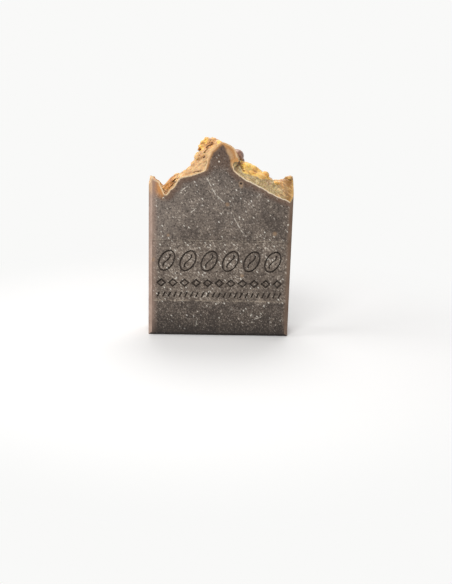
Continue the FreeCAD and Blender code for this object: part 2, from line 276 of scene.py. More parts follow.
def loaf_top():
    """The top as a closed block: laid along the sections, its border drawn down, and filled below."""
    rows = [(-END_OF_LOAF, FRONT, -1.4), (-OFF_THE_FACE, FRONT, -1.0)]
    rows += [(depth - HALF_THICKNESS, depth, 0.0) for depth in INNER]
    rows += [(OFF_THE_FACE, BACK, -1.0), (END_OF_LOAF, BACK, -1.4)]
    bpy.ops.object.select_all(action="DESELECT")
    across = len(section_line(FRONT))
    bpy.ops.mesh.primitive_grid_add(x_subdivisions=across - 1, y_subdivisions=len(rows) - 1, size=1)
    top = bpy.context.object
    for j, (y, depth, sink) in enumerate(rows):
        for i, (x, z) in enumerate(section_line(depth)):
            top.data.vertices[j * across + i].co = (x, y, z + sink)
    apply_modifier(top, "SUBSURF", subdivision_type="SIMPLE", levels=2, render_levels=2)
    apply_modifier(top, "SMOOTH", factor=0.5, iterations=2)

    pick(top)
    edit("DESELECT")
    bpy.ops.mesh.select_mode(type="EDGE")
    bpy.ops.mesh.select_non_manifold()
    bpy.ops.mesh.extrude_region_move(TRANSFORM_OT_translate={"value": (0, 0, -SHOULDER)})
    bpy.ops.transform.resize(value=(1, 1, 0), center_override=(0, 0, FLOOR_OF_TOP))
    bpy.ops.mesh.edge_face_add()
    leave_edit_facing_out()
    return top


top = loaf_top()
print("loaf top:", *size_of(top))

# %% [markdown]
# The wire that cut the slice left a sharp profile along both cut faces, with a thin pale line where
# the crust meets the air. That profile is finer than the sections, so it is drawn as an outline of
# its own: a flat disc whose corners are moved onto the profile, extruded into a thin slab, and merged
# with the loaf by the remesh further down.

# %% Rims of the two cut faces
FRONT_RIM = [
    (-35.5, 74.0), (-35.0, 75.3), (-34.6, 77.0), (-33.9, 78.6), (-33.3, 80.2), (-32.9, 78.4), (-31.8, 78.0),
    (-30.5, 77.6), (-29.5, 77.2), (-29.6, 75.6), (-28.7, 74.4), (-28.1, 73.2), (-27.4, 71.2), (-26.6, 71.0),
    (-25.9, 71.9), (-24.9, 73.4), (-23.6, 74.3), (-22.9, 74.9), (-21.9, 76.4), (-21.5, 77.8), (-20.1, 79.3),
    (-18.2, 80.1), (-16.5, 80.2), (-14.8, 80.7), (-12.4, 81.5), (-9.9, 82.2), (-8.0, 83.0), (-7.1, 84.4),
    (-6.8, 86.4), (-6.5, 88.3), (-5.7, 90.3), (-5.3, 92.4), (-3.6, 93.9), (-2.0, 95.6), (-0.6, 96.7),
    (0.9, 96.5), (3.8, 95.3), (5.7, 93.9), (6.5, 92.2), (6.9, 90.6), (7.0, 89.2), (6.2, 88.0), (4.8, 87.0),
    (4.3, 85.6), (4.7, 84.1), (6.2, 82.4), (8.4, 80.9), (11.1, 79.4), (12.6, 78.5), (14.1, 78.1),
    (17.1, 76.5), (19.6, 75.3), (22.1, 73.8), (24.6, 72.4), (27.2, 71.2), (30.4, 70.0), (32.7, 68.9),
    (34.4, 67.1), (35.5, 65.9),
]
RIM_THICKNESS = 3.0


def rim_slab(line, y):
    """A slab of the cut face's profile, one rim thick, that starts at y."""
    outline = [*line, (line[-1][0], FLOOR_OF_TOP), (line[0][0], FLOOR_OF_TOP)]
    bpy.ops.object.select_all(action="DESELECT")
    bpy.ops.mesh.primitive_circle_add(vertices=len(outline), fill_type="NGON")
    slab = bpy.context.object
    for vertex, (x, z) in zip(slab.data.vertices, outline):
        vertex.co = (x, y, z)
    edit()
    bpy.ops.mesh.extrude_region_move(TRANSFORM_OT_translate={"value": (0, RIM_THICKNESS, 0)})
    leave_edit_facing_out()
    return slab


def ragged(line, stray, seed):
    """The line with two more corners on each stretch, all but its ends moved a little at random."""
    dice = random.Random(seed)
    made = [line[0]]
    for (x0, z0), (x1, z1) in zip(line, line[1:]):
        for part in (0.33, 0.67, 1.0):
            x = x0 + (x1 - x0) * part + dice.uniform(-stray, stray)
            made.append((x, z0 + (z1 - z0) * part + dice.uniform(-stray, stray)))
    made[-1] = line[-1]
    return made


front_rim = rim_slab(FRONT_RIM, -END_OF_LOAF)
back_rim = rim_slab(ragged(section_line(BACK), 0.35, 5), END_OF_LOAF - RIM_THICKNESS)
print("front rim:", *size_of(front_rim))

# %% [markdown]
# The crust tore and curled as the spoon was pulled away. On the real bar that left lumps, crumbs and
# thin ragged flaps, most of them along the left flank, round the peak and on the right-hand ridge.
# Each is an ico sphere, squashed, turned and pushed into the surface: cheap, and the remesh welds
# them into one skin. The larger ones have a set place; crumbs are strewn along lines with a fixed
# seed, so the bar comes out the same each time.

# %% Lumps and crumbs
LUMPS = [
    # place in mm, half sizes, turn in degrees about x, y, z
    ((-32.8, -8.0, 76.0), (1.0, 1.4, 2.0), (0, 12, 0)),
    ((-30.2, -7.8, 75.0), (1.3, 1.5, 1.8), (0, -20, 10)),
    ((-23.6, -2.5, 77.5), (4.8, 3.0, 1.2), (0, -40, 8)),
    ((-19.8, -4.0, 79.8), (3.4, 2.4, 0.9), (10, -30, 0)),
    ((-16.4, -4.2, 81.8), (2.4, 2.2, 0.9), (0, -24, 20)),
    ((-13.6, -4.4, 85.2), (1.3, 1.8, 1.8), (0, 18, 0)),
    ((-11.8, -4.8, 88.8), (1.5, 1.8, 1.4), (0, 0, 0)),
    ((-10.4, -4.2, 93.6), (1.2, 1.6, 1.4), (0, 20, 0)),
    ((-9.2, -4.6, 95.8), (1.3, 1.6, 1.3), (0, -20, 0)),
    ((-7.2, -3.8, 97.4), (1.7, 1.9, 1.0), (0, 4, 0)),
    ((-4.6, -4.0, 97.0), (1.9, 1.7, 0.9), (0, 20, 0)),
    ((-4.6, -7.2, 94.0), (2.0, 1.2, 0.7), (0, -40, 0)),
    ((-1.8, -7.6, 96.4), (1.6, 1.2, 0.6), (0, 10, 0)),
    ((8.0, -5.0, 83.6), (2.6, 2.4, 2.6), (0, 0, 0)),
    ((6.6, -5.6, 86.8), (1.9, 2.0, 2.6), (0, 0, 0)),
    ((9.4, -5.4, 86.4), (1.0, 1.2, 1.3), (0, 0, 0)),
    ((12.2, -3.0, 85.1), (2.2, 1.7, 1.2), (0, 14, 0)),
    ((15.6, -2.6, 83.9), (2.0, 1.7, 1.3), (0, 30, 0)),
    ((13.2, -5.4, 81.9), (3.6, 1.3, 0.9), (0, 6, 0)),
    ((18.6, -5.0, 80.7), (3.2, 1.3, 0.9), (0, 18, 0)),
    ((21.6, -2.6, 80.9), (2.0, 1.6, 1.2), (0, 30, 0)),
    ((26.7, -5.0, 77.3), (1.1, 1.1, 1.0), (0, 0, 0)),
    ((32.6, -2.0, 79.2), (1.6, 1.9, 1.0), (0, -4, 0)),
    ((33.2, -3.0, 79.5), (1.5, 1.9, 1.2), (0, 4, 0)),
    ((-6.0, 7.6, 89.4), (2.6, 1.6, 1.3), (0, 30, 0)),
    ((2.0, 8.4, 91.2), (2.4, 1.3, 1.2), (0, -12, 0)),
    ((-20.0, 6.5, 77.9), (3.0, 1.8, 1.2), (0, -28, 0)),
    ((16.5, 7.4, 82.6), (2.8, 1.4, 1.1), (0, 25, 0)),
]
CRUMB_LINES = [
    # start and end in mm, how many, how far they stray, largest half size
    ((-33.0, -8.0, 77.5), (-28.6, -7.0, 73.0), 8, 0.7, 0.8),
    ((-26.5, -4.0, 75.5), (-15.5, -2.5, 83.0), 12, 1.0, 0.7),
    ((-14.0, -5.5, 86.0), (-10.5, -5.0, 91.5), 8, 0.9, 0.9),
    ((-10.6, -4.0, 92.5), (-4.0, -4.0, 97.6), 30, 1.1, 0.9),
    ((16.5, -3.0, 83.4), (22.0, -3.5, 80.5), 5, 0.8, 0.9),
    ((9.0, -6.5, 82.0), (30.0, -6.5, 73.5), 6, 0.9, 0.5),
    ((31.8, -1.5, 79.2), (34.2, -1.5, 79.8), 5, 0.5, 0.5),
    ((-32.0, 4.5, 76.5), (-9.0, 5.5, 89.0), 20, 1.2, 0.8),
    ((-7.0, 8.0, 90.0), (14.0, 8.0, 86.0), 20, 1.4, 0.9),
    ((12.0, 4.0, 84.0), (33.0, 5.0, 78.5), 22, 1.5, 0.9),
]


def pebble(place, half_sizes, turn, detail):
    bpy.ops.object.select_all(action="DESELECT")
    angles = [math.radians(a) for a in turn]
    bpy.ops.mesh.primitive_ico_sphere_add(subdivisions=detail, radius=1, location=place, rotation=angles)
    stone = bpy.context.object
    stone.scale = half_sizes
    settle(stone)
    return stone


def astray(dice, spread):
    """A small random step in all three directions."""
    return Vector([dice.gauss(0, spread) for _ in range(3)])


def strewn_crumbs(ground):
    """Crumbs along the lines, each set on the nearest spot of the ground."""
    dice = random.Random(7)
    crumbs = []
    for start, end, count, stray, largest in CRUMB_LINES:
        for k in range(count):
            along = (k + dice.random()) / count
            wanted = Vector(start).lerp(Vector(end), along) + astray(dice, stray)
            place = ground.closest_point_on_mesh(wanted)[1]
            half = [largest * dice.uniform(0.45, 1.0) for _ in range(3)]
            crumbs.append(pebble(place, half, [dice.uniform(0, 180) for _ in range(3)], 1))
    return crumbs


lumps = [pebble(*lump, 3) for lump in LUMPS]
crumbs = strewn_crumbs(top)
print(len(lumps), "lumps and", len(crumbs), "crumbs")

# %% [markdown]
# All of this is one skin on the real bar, so it is welded by a voxel remesh. A boolean union would
# keep each lump's round outline sharp; the remesh runs them into one another like soft soap.

# %% Weld
WELD_GRAIN = 0.34


def weld(piece, grain):
    apply_modifier(piece, "REMESH", mode="VOXEL", voxel_size=grain)


loaf = join([top, front_rim, back_rim, *lumps, *crumbs], "loaf")
weld(loaf, WELD_GRAIN)
print("welded:", *size_of(loaf))

# %% [markdown]
# Hollows are cut with a boolean: the dark hole in the clump by the peak and the sloping notch under
# it, the hollow under the nose, and the gaps along the left flank. Their pebbles are welded as well,
# so that the cutter is one closed skin.

# %% Hollow out
HOLLOWS = [
    # place in mm, half sizes, turn in degrees about x, y, z
    ((-5.0, -7.5, 95.3), (2.2, 0.8, 0.3), (0, -38, 0)),
    ((-5.8, -6.6, 97.0), (0.9, 1.2, 0.4), (0, 20, 0)),
    ((-9.0, -7.0, 89.0), (0.4, 1.0, 1.3), (0, 24, 0)),
    ((-24.4, -6.8, 76.0), (4.6, 1.6, 0.6), (0, -40, 0)),
    ((-18.4, -6.0, 81.4), (2.8, 1.2, 0.42), (0, -30, 0)),
    ((-12.5, -5.6, 92.1), (2.6, 2.4, 0.85), (-16, -14, 8)),
    ((-12.3, -2.4, 91.3), (2.8, 2.7, 1.1), (-6, -14, -6)),
    ((-12.3, 1.2, 90.4), (2.5, 2.7, 0.8), (-22, -14, 10)),
    ((6.9, -10.6, 85.9), (2.1, 1.9, 1.7), (0, 30, 0)),
    ((9.9, -5.8, 85.4), (0.5, 2.0, 2.2), (0, -14, 0)),
    ((10.6, -5.6, 82.4), (0.5, 1.4, 0.8), (0, -30, 0)),
    ((14.6, -5.2, 83.2), (2.0, 1.2, 0.35), (0, 14, 0)),
    ((24.4, -2.0, 81.6), (1.6, 6.0, 1.5), (0, 0, 0)),
]
cutters = join([pebble(*hollow, 3) for hollow in HOLLOWS], "hollows")
weld(cutters, 0.2)
cut_away(loaf, cutters)
print("hollowed out:", *size_of(loaf))

# %% [markdown]
# Displacement with cloud and cell textures breaks up the smooth lumps, less so near the cuts and on
# forms that the spoon left smooth. A second, finer remesh closes whatever that folded over.

# %% Roughen
def roughening(name, kind, scale):
    pattern = bpy.data.textures.new(name, kind)
    pattern.noise_scale = scale
    return pattern


CALM_RIM = 3.6
CALM_WEIGHT = 0.22
FULL_WEIGHT_AFTER = 2.2
BY_THE_WALL = HALF_WIDTH - 0.6
FINE_GRAIN = 0.27
SMOOTH_SPOTS = [
    # centre in mm, and how far round it the skin stays nearly smooth
    ((-24.8, -5.0, 76.6), 3.2), ((-19.4, -7.0, 80.0), 2.0), ((13.4, -4.2, 84.8), 2.6),
    ((15.0, -6.0, 81.8), 2.4), ((19.0, -6.0, 80.8), 2.2), ((31.6, -6.0, 76.0), 3.6),
    ((-9.6, -8.0, 86.8), 1.6), ((7.6, -7.0, 90.6), 1.6),
]


def steady_weights(piece):
    """A vertex group that is full on the worked top and slight near the two cut faces and the walls."""
    rows = places(piece)
    inward = np.maximum(END_OF_LOAF - CALM_RIM - np.abs(rows[:, 1]), 0)
    weight = np.clip(CALM_WEIGHT + inward / FULL_WEIGHT_AFTER, CALM_WEIGHT, 1.0)
    weight *= 1 - 0.8 * strongest(rows, SMOOTH_SPOTS)
    weight = np.where(np.abs(rows[:, 0]) > BY_THE_WALL, np.minimum(weight, 0.2), weight)
    group = piece.vertex_groups.new(name="worked")
    for level in range(1, 11):
        chosen = np.nonzero(np.round(weight * 10) == level)[0].tolist()
        if chosen:
            group.add(chosen, level / 10, "REPLACE")
    return group.name


worked = steady_weights(loaf)
ROUGHENINGS = [
    # name, kind, size of its lumps and how far it moves the skin, in mm
    ("broad_lumps", "CLOUDS", 3.2, 1.5),
    ("torn_cells", "VORONOI", 1.7, 0.42),
    ("fine_lumps", "CLOUDS", 1.1, 0.36),
]
for name, kind, scale, strength in ROUGHENINGS:
    apply_modifier(loaf, "DISPLACE", texture=roughening(name, kind, scale), strength=strength,
                   vertex_group=worked, texture_coords="LOCAL", mid_level=0.5)
weld(loaf, FINE_GRAIN)
apply_modifier(loaf, "SMOOTH", factor=0.5, iterations=3)
print("roughened:", *size_of(loaf))

# %% [markdown]
# The crust also tore in narrow crevices, most of them where it meets the cut face. They are cut last,
# so that their edges stay sharp: thin pebbles set close together along a line, each turned with it
# and a little astray, then taken away as one.

# %% Tears
TEAR_STEP = 0.9
TEAR_HALF_LENGTH = 0.85
CREVICES = [
    # corners in mm, half width, half depth
    ([(-27.4, -7.0, 71.9), (-25.6, -6.4, 73.4), (-24.3, -7.2, 74.8), (-23.3, -8.6, 75.9),
      (-21.8, -9.1, 77.6)], 0.5, 0.5),
    ([(-28.7, -3.7, 73.5), (-28.3, -4.5, 72.9), (-27.5, -6.6, 72.3)], 0.4, 0.4),
    ([(-21.6, -3.6, 80.0), (-21.3, -5.1, 79.2), (-21.1, -8.4, 78.7)], 0.26, 0.35),
    ([(-13.6, -9.0, 81.6), (-12.4, -8.9, 82.4), (-11.0, -9.2, 82.5), (-9.1, -9.3, 83.1)], 0.24, 0.4),
    ([(-8.2, -9.3, 84.7), (-7.6, -9.4, 86.2), (-7.5, -9.4, 87.8)], 0.26, 0.45),
    ([(-11.2, -6.4, 87.4), (-9.6, -7.2, 88.6), (-8.7, -8.4, 89.1), (-8.0, -8.9, 89.6)], 0.34, 0.4),
    ([(-7.6, -7.8, 93.8), (-6.2, -7.1, 94.7), (-5.2, -6.7, 95.3), (-4.6, -7.1, 96.1)], 0.4, 0.42),
    ([(-8.6, -8.3, 91.2), (-7.8, -8.1, 92.6), (-6.7, -8.4, 93.6)], 0.26, 0.4),
    ([(7.3, -8.4, 88.2), (7.9, -7.5, 87.2), (8.7, -6.4, 85.9), (9.4, -6.6, 84.7),
      (10.8, -7.1, 82.6)], 0.42, 0.6),
]


def crevice_spots():
    """Spots strewn closely along the crevices: place, way to the next corner, half width, half depth."""
    dice = random.Random(31)
    spots = []
    for corners, widest, half_depth in CREVICES:
        for a, b in zip(corners, corners[1:]):
            way = Vector(b) - Vector(a)
            count = max(1, round(way.length / TEAR_STEP))
            for k in range(count):
                place = Vector(a) + way * ((k + 0.5) / count) + astray(dice, 0.12)
                heading = way.normalized() + astray(dice, 0.22)
                spots.append((place, heading, widest * dice.uniform(0.6, 1.2), half_depth))
    return spots


def tears():
    made = []
    for place, heading, half_width, half_depth in crevice_spots():
        turn = heading.to_track_quat("X", "Z").to_euler()
        half_sizes = (TEAR_HALF_LENGTH, half_depth, half_width)
        made.append(pebble(place, half_sizes, [math.degrees(a) for a in turn], 2))
    return made


cutters = join(tears(), "tears")
weld(cutters, 0.16)
cut_away(loaf, cutters)
loaf = largest_part(loaf)
print("torn:", *size_of(loaf))

# %% [markdown]
# The block below the crust needs no detail of its own, so the roughened skin is cut off flat and its
# open border is drawn straight down past the foot.

# %% Draw the loaf down
def draw_down(piece, cut_height, foot):
    pick(piece)
    edit()
    bpy.ops.mesh.bisect(plane_co=(0, 0, cut_height), plane_no=(0, 0, 1), clear_inner=True)
    bpy.ops.mesh.select_all(action="DESELECT")
    bpy.ops.mesh.select_mode(type="EDGE")
    bpy.ops.mesh.select_non_manifold()
    bpy.ops.mesh.extrude_region_move(TRANSFORM_OT_translate={"value": (0, 0, foot - cut_height)})
    bpy.ops.mesh.edge_face_add()
    leave_edit_facing_out()


DETAIL_FROM = 60.0
BELOW_THE_FOOT = -3.0
draw_down(loaf, DETAIL_FROM, BELOW_THE_FOOT)
print("drawn down:", *size_of(loaf))

# %% [markdown]
# The slice itself is a slab with planed edges. It starts as a cube at the slice's size; its upright
# edges and the long edges at the foot are bevelled flat, as a planer leaves them. The two cut faces
# are then divided into small squares, so that colour can follow the crust's edge later on.

# %% The planed slab
EDGE_BEVEL = 1.8
SLAB_HEIGHT = 104.5
SQUARE = 0.7
SQUARES_BETWEEN = (62.3, 99.0)


def planed_slab():
    bpy.ops.object.select_all(action="DESELECT")
    bpy.ops.mesh.primitive_cube_add(size=1, location=(0, 0, SLAB_HEIGHT / 2))
    slab = bpy.context.object
    slab.scale = (2 * HALF_WIDTH, 2 * HALF_THICKNESS, SLAB_HEIGHT)
    settle(slab)
    edit("DESELECT")
    bpy.ops.mesh.select_mode(type="EDGE")
    leave_edit()
    for edge in slab.data.edges:
        a, b = (slab.data.vertices[i].co for i in edge.vertices)
        upright = abs(a.z - b.z) > 1
        at_foot = max(a.z, b.z) < 1 and abs(a.x - b.x) > 1
        edge.select = upright or at_foot
    bpy.ops.object.mode_set(mode="EDIT")
    bpy.ops.mesh.bevel(offset=EDGE_BEVEL, offset_type="OFFSET", segments=1, affect="EDGES")
    bpy.ops.mesh.select_all(action="DESELECT")
    leave_edit()
    return slab


def square_up(piece, step, low, high):
    """Cuts the piece into squares by evenly spaced planes across and up, between two heights."""
    pick(piece)
    edit()
    for axis, start, end in ((0, -HALF_WIDTH + step, HALF_WIDTH), (2, low, high)):
        here = start
        while here < end:
            bpy.ops.mesh.select_all(action="SELECT")
            normal = [int(k == axis) for k in range(3)]
            bpy.ops.mesh.bisect(plane_co=[here * n for n in normal], plane_no=normal)
            here += step
    bpy.ops.mesh.select_all(action="DESELECT")
    leave_edit()


slab = planed_slab()
square_up(slab, SQUARE, *SQUARES_BETWEEN)
print("planed slab:", *size_of(slab))

# %% [markdown]
# The slice is what the planed slab and the loaf have in common. The loaf is wider, thicker and deeper
# than the slab, so the cut leaves true flat faces, and the profile of the crust appears on them.

# %% Cut the slice
boolean(slab, "INTERSECT", loaf)
bpy.data.objects.remove(loaf)
soap = largest_part(slab)
soap.name = "cut_soap"
print("slice:", *size_of(soap))

# %% [markdown]
# The roasted beans are real objects pressed into the crust. A bean is an oval with one flat side and
# an S-shaped crease along it. It starts as a sphere at the bean's size; the belly is flattened, the
# crease pushed in, and the skin wrinkled by a fine displacement. Their seats are then pressed into
# the soap with the beans themselves, so that no bean hangs clear of it.

# %% Beans
BEAN_SEATS = {
    # place in mm; yaw, pitch and roll in degrees
    "bean_on_right_slope": ((7.0, -1.6, 89.3), (60, 4, 14)),
    "bean_behind_peak": ((-1.9, 3.2, 90.3), (-20, 8, -10)),
    "bean_at_back_right": ((6.5, 5.9, 86.3), (-8, 10, -12)),
}
BEAN_HALF_LENGTH = 5.0
BEAN_HALF_WIDTH = 3.3
BELLY = -1.2
TAPER = 0.08
CREASE_SWAY = 0.35
CREASE_HALF_WIDTH = 0.38
CREASE_DEPTH = 0.7
WRINKLE_SIZE = 1.3
WRINKLE_DEPTH = 0.16


def roasted_bean(name):
    bpy.ops.object.select_all(action="DESELECT")
    level = (0, math.radians(90), 0)
    bpy.ops.mesh.primitive_uv_sphere_add(segments=64, ring_count=40, radius=1, rotation=level)
    bean = bpy.context.object
    bean.name = name
    settle(bean)
    rows = places(bean)
    along, side, up = rows.T
    side = side * (1 - TAPER * along)
    rows = np.stack([along * BEAN_HALF_LENGTH, side * BEAN_HALF_WIDTH, up * BEAN_HALF_WIDTH], axis=1)
    under = rows[:, 2] < BELLY
    rows[under, 2] = BELLY + (rows[under, 2] - BELLY) * 0.04
    crease_line = CREASE_SWAY * np.sin(rows[:, 0] * 0.62)
    closeness = np.exp(-((rows[:, 1] - crease_line) / CREASE_HALF_WIDTH) ** 2)
    rows[:, 2] += np.where(rows[:, 2] < BELLY + 0.3, closeness * CREASE_DEPTH, 0)
    put_places(bean, rows)
    wrinkles = roughening(name + "_skin", "CLOUDS", WRINKLE_SIZE)
    apply_modifier(bean, "DISPLACE", texture=wrinkles, strength=WRINKLE_DEPTH, mid_level=0.6,
                   texture_coords="LOCAL")
    pick(bean)
    bpy.ops.object.shade_smooth()
    return bean


beans = {}
for node, (place, (yaw, pitch, roll)) in BEAN_SEATS.items():
    bean = roasted_bean("roasted_" + node)
    bean.rotation_euler = [math.radians(a) for a in (roll, pitch, yaw)]
    bean.location = place
    settle(bean)
    boolean(soap, "DIFFERENCE", bean)
    beans[node] = bean
    print(bean.name, *size_of(bean))
soap = largest_part(soap)
print("soap with its seats:", *size_of(soap))

# %% [markdown]
# From here on grooves and pits are cut into the faces, and their edges must not be taken for the edge
# of the crust. So the vertices of the worked top are marked now, as those off the slab's own planes.

# %% Mark the worked top
def keep(piece, name, values):
    layer = piece.data.attributes.new(name, "FLOAT", "POINT")
    layer.data.foreach_set("value", np.ascontiguousarray(values, dtype=np.float32))


WORKED_FROM = 63.0
PLANE_SLACK = 0.03
# on the planed strips beside the walls, |x| and |y| add up to this
STRIP_SUM = HALF_WIDTH + HALF_THICKNESS - EDGE_BEVEL


def on_slab_plane(rows):
    """True for a vertex that lies on one of the planed slab's own planes."""
    x, y = np.abs(rows).T[:2]
    cut = np.abs(y - HALF_THICKNESS) < PLANE_SLACK
    wall = np.abs(x - HALF_WIDTH) < PLANE_SLACK
    strip = np.abs(x + y - STRIP_SUM) < PLANE_SLACK
    return cut | wall | strip


rows = places(soap)
keep(soap, "open", ~on_slab_plane(rows) & (rows[:, 2] > WORKED_FROM))

# %% [markdown]
# A stamp was pressed into the face while the soap was still a little soft: a panel that sank by a
# third of a millimetre, with a plain ornament in it of coffee beans, lozenges and ticks. Each mark is
# modelled once, flat, and copied along its row; the rows are extruded through the face and taken
# away with a boolean, so that the grooves are real and catch real shade.

# %% The stamp
PANEL_HALF_WIDTH = 33.1
PANEL_LOW = 18.4
PANEL_HIGH = 48.8
PANEL_SINK = 0.3
GROOVE = 0.85
GROOVE_FLOOR = -8.8
IN_FRONT = -11.5


def groove_ring(half_length, half_height, corners, tilt):
    """A flat ring of one groove's width that stands in the plane of the face."""
    bpy.ops.object.select_all(action="DESELECT")
    bpy.ops.mesh.primitive_circle_add(vertices=corners, fill_type="NGON")
    ring = bpy.context.object
    ring.scale = (half_length, half_height, 1)
    settle(ring)
    edit()
    bpy.ops.mesh.inset(thickness=GROOVE)
    bpy.ops.mesh.delete(type="FACE")
    leave_edit()
    ring.rotation_euler = (math.radians(90), math.radians(-tilt), 0)
    settle(ring)
    return ring


def groove_stroke(rise, lean, sway):
    """A flat upright stroke with ends cut level; sway bends it into a slight S."""
    bpy.ops.object.select_all(action="DESELECT")
    bpy.ops.mesh.primitive_grid_add(x_subdivisions=1, y_subdivisions=8, size=1)
    stroke = bpy.context.object
    for vertex in stroke.data.vertices:
        up = vertex.co.y
        across = vertex.co.x * GROOVE + up * lean + sway * math.sin(2 * math.pi * up)
        vertex.co = (across, 0, up * rise)
    return stroke


def row_of(pattern, first_x, spacing, count, z):
    """Copies of a mark along a level row; the pattern itself is used up."""
    marks = []
    for k in range(count):
        pick(pattern)
        bpy.ops.object.duplicate()
        mark = bpy.context.object
        mark.location = (first_x + k * spacing, IN_FRONT, z)
        settle(mark)
        marks.append(mark)
    bpy.data.objects.remove(pattern)
    return marks


def punch(marks, name):
    """Extrudes the flat marks backwards, from in front of the face to the floor of the grooves."""
    die = join(marks, name)
    edit()
    depth = GROOVE_FLOOR - IN_FRONT
    bpy.ops.mesh.extrude_region_move(TRANSFORM_OT_translate={"value": (0, depth, 0)})
    leave_edit_facing_out()
    return die


def block(low, high):
    bpy.ops.object.select_all(action="DESELECT")
    middle = (Vector(low) + Vector(high)) / 2
    bpy.ops.mesh.primitive_cube_add(size=1, location=middle)
    made = bpy.context.object
    made.scale = Vector(high) - Vector(low)
    settle(made)
    return made


FLOOR_OF_PANEL = PANEL_SINK - HALF_THICKNESS
MARKS = [
    # name, pattern, and the row: first place across, spacing, count and height
    ("bean_rims", groove_ring(5.8, 3.8, 40, 62), (-26.1, 10.44, 6, 38.6)),
    ("bean_seams", groove_stroke(6.6, 3.2, 0.75), (-26.1, 10.44, 6, 38.6)),
    ("lozenges", groove_ring(2.6, 2.3, 4, 0), (-28.7, 5.74, 11, 27.4)),
    ("ticks", groove_stroke(2.6, 1.1, 0), (-30.1, 2.736, 23, 21.4)),
]
dies = [block((-PANEL_HALF_WIDTH, IN_FRONT, PANEL_LOW), (PANEL_HALF_WIDTH, FLOOR_OF_PANEL, PANEL_HIGH))]
for name, pattern, row in MARKS:
    dies.append(punch(row_of(pattern, *row), name))
for die in dies:
    cut_away(soap, die)
print("stamped:", *size_of(soap))

# %% [markdown]
# Poured soap traps a few bubbles, and the cut drags grains out of its face. The bubble that shows
# near the crust and some smaller pits are taken out one by one, and finer ones are strewn over both
# faces. The long scratches are sunk as very long thin pebbles that only just reach the face.

# %% Pits and scratches
BUBBLE = (9.2, 77.2)
PITS = [
    # x and z on the front face, and half size
    (*BUBBLE, 0.5), (3.4, 66.9, 0.35), (-21.5, 58.0, 0.3), (26.2, 54.0, 0.3), (-6.2, 12.6, 0.4),
    (13.4, 9.8, 0.35), (-27.8, 69.0, 0.4), (30.6, 58.4, 0.3), (-33.2, 38.6, 0.45), (20.4, 61.0, 0.3),
]
FINE_PITS = 46
FINE_PIT_SIZES = (0.12, 0.3)
SCRATCHES = [
    # one end and the other, as (x, z) in mm
    ((-7.4, 79.8), (-2.6, 71.2)), ((-2.9, 71.8), (1.5, 67.8)), ((4.6, 63.4), (9.2, 55.6)),
    ((9.6, 54.8), (12.6, 51.2)), ((-19.5, 73.0), (-16.2, 75.6)), ((-14.8, 62.6), (-12.2, 64.8)),
    ((16.4, 8.6), (21.8, 10.6)), ((-11.4, 4.8), (-10.6, 9.6)), ((20.6, 42.6), (25.0, 39.6)),
]


def dents():
    """Pits at their set places, fine pits strewn over both faces, and scratches."""
    dice = random.Random(23)
    made = []
    for x, z, half in PITS:
        half_sizes = (half, half * 0.9, half * dice.uniform(0.8, 1.3))
        made.append(pebble((x, -HALF_THICKNESS, z), half_sizes, (0, 0, 0), 2))
    for side in (-1, 1):
        for _ in range(FINE_PITS):
            place = (dice.uniform(-32.5, 32.5), side * HALF_THICKNESS, dice.uniform(3.0, 64.0))
            half = dice.uniform(*FINE_PIT_SIZES)
            made.append(pebble(place, (half * 1.5, half * 0.7, half), (0, dice.uniform(0, 180), 0), 1))
    for (x0, z0), (x1, z1) in SCRATCHES:
        length = math.hypot(x1 - x0, z1 - z0)
        turn = -math.degrees(math.atan2(z1 - z0, x1 - x0))
        place = ((x0 + x1) / 2, -HALF_THICKNESS - 0.12, (z0 + z1) / 2)
        made.append(pebble(place, (length / 2, 0.3, 0.26), (0, turn, 0), 2))
    return made


cut_away(soap, join(dents(), "pits"))
soap = largest_part(soap)
soap.name = "cut_soap"
print("pitted:", *size_of(soap))

# %% [markdown]
# Colour on this bar follows its making. On the cut faces it depends on how far a spot is from the
# crust's open side, and on the crust it depends on where the skin tore and how it is hollowed. Both
# are measured here once and kept as attributes on the mesh, which the materials then read.

# %% Measure the skin
FAR_FROM_SKIN = 9.0
SMOOTHING_ROUNDS = 40


def ends_of_edges(piece):
    ends = np.empty(len(piece.data.edges) * 2, dtype=np.int32)
    piece.data.edges.foreach_get("vertices", ends)
    return ends.reshape(-1, 2)


def smoothed(rows, ends, rounds):
    """Each vertex moved again and again to the mean of itself and its neighbours."""
    count = len(rows)
    a, b = ends.T
    degree = np.bincount(a, minlength=count) + np.bincount(b, minlength=count) + 1.0
    calm = rows.astype(np.float64)
    for _ in range(rounds):
        total = calm.copy()
        for axis in range(3):
            total[:, axis] += np.bincount(a, weights=calm[b, axis], minlength=count)
            total[:, axis] += np.bincount(b, weights=calm[a, axis], minlength=count)
        calm = total / degree[:, None]
    return calm


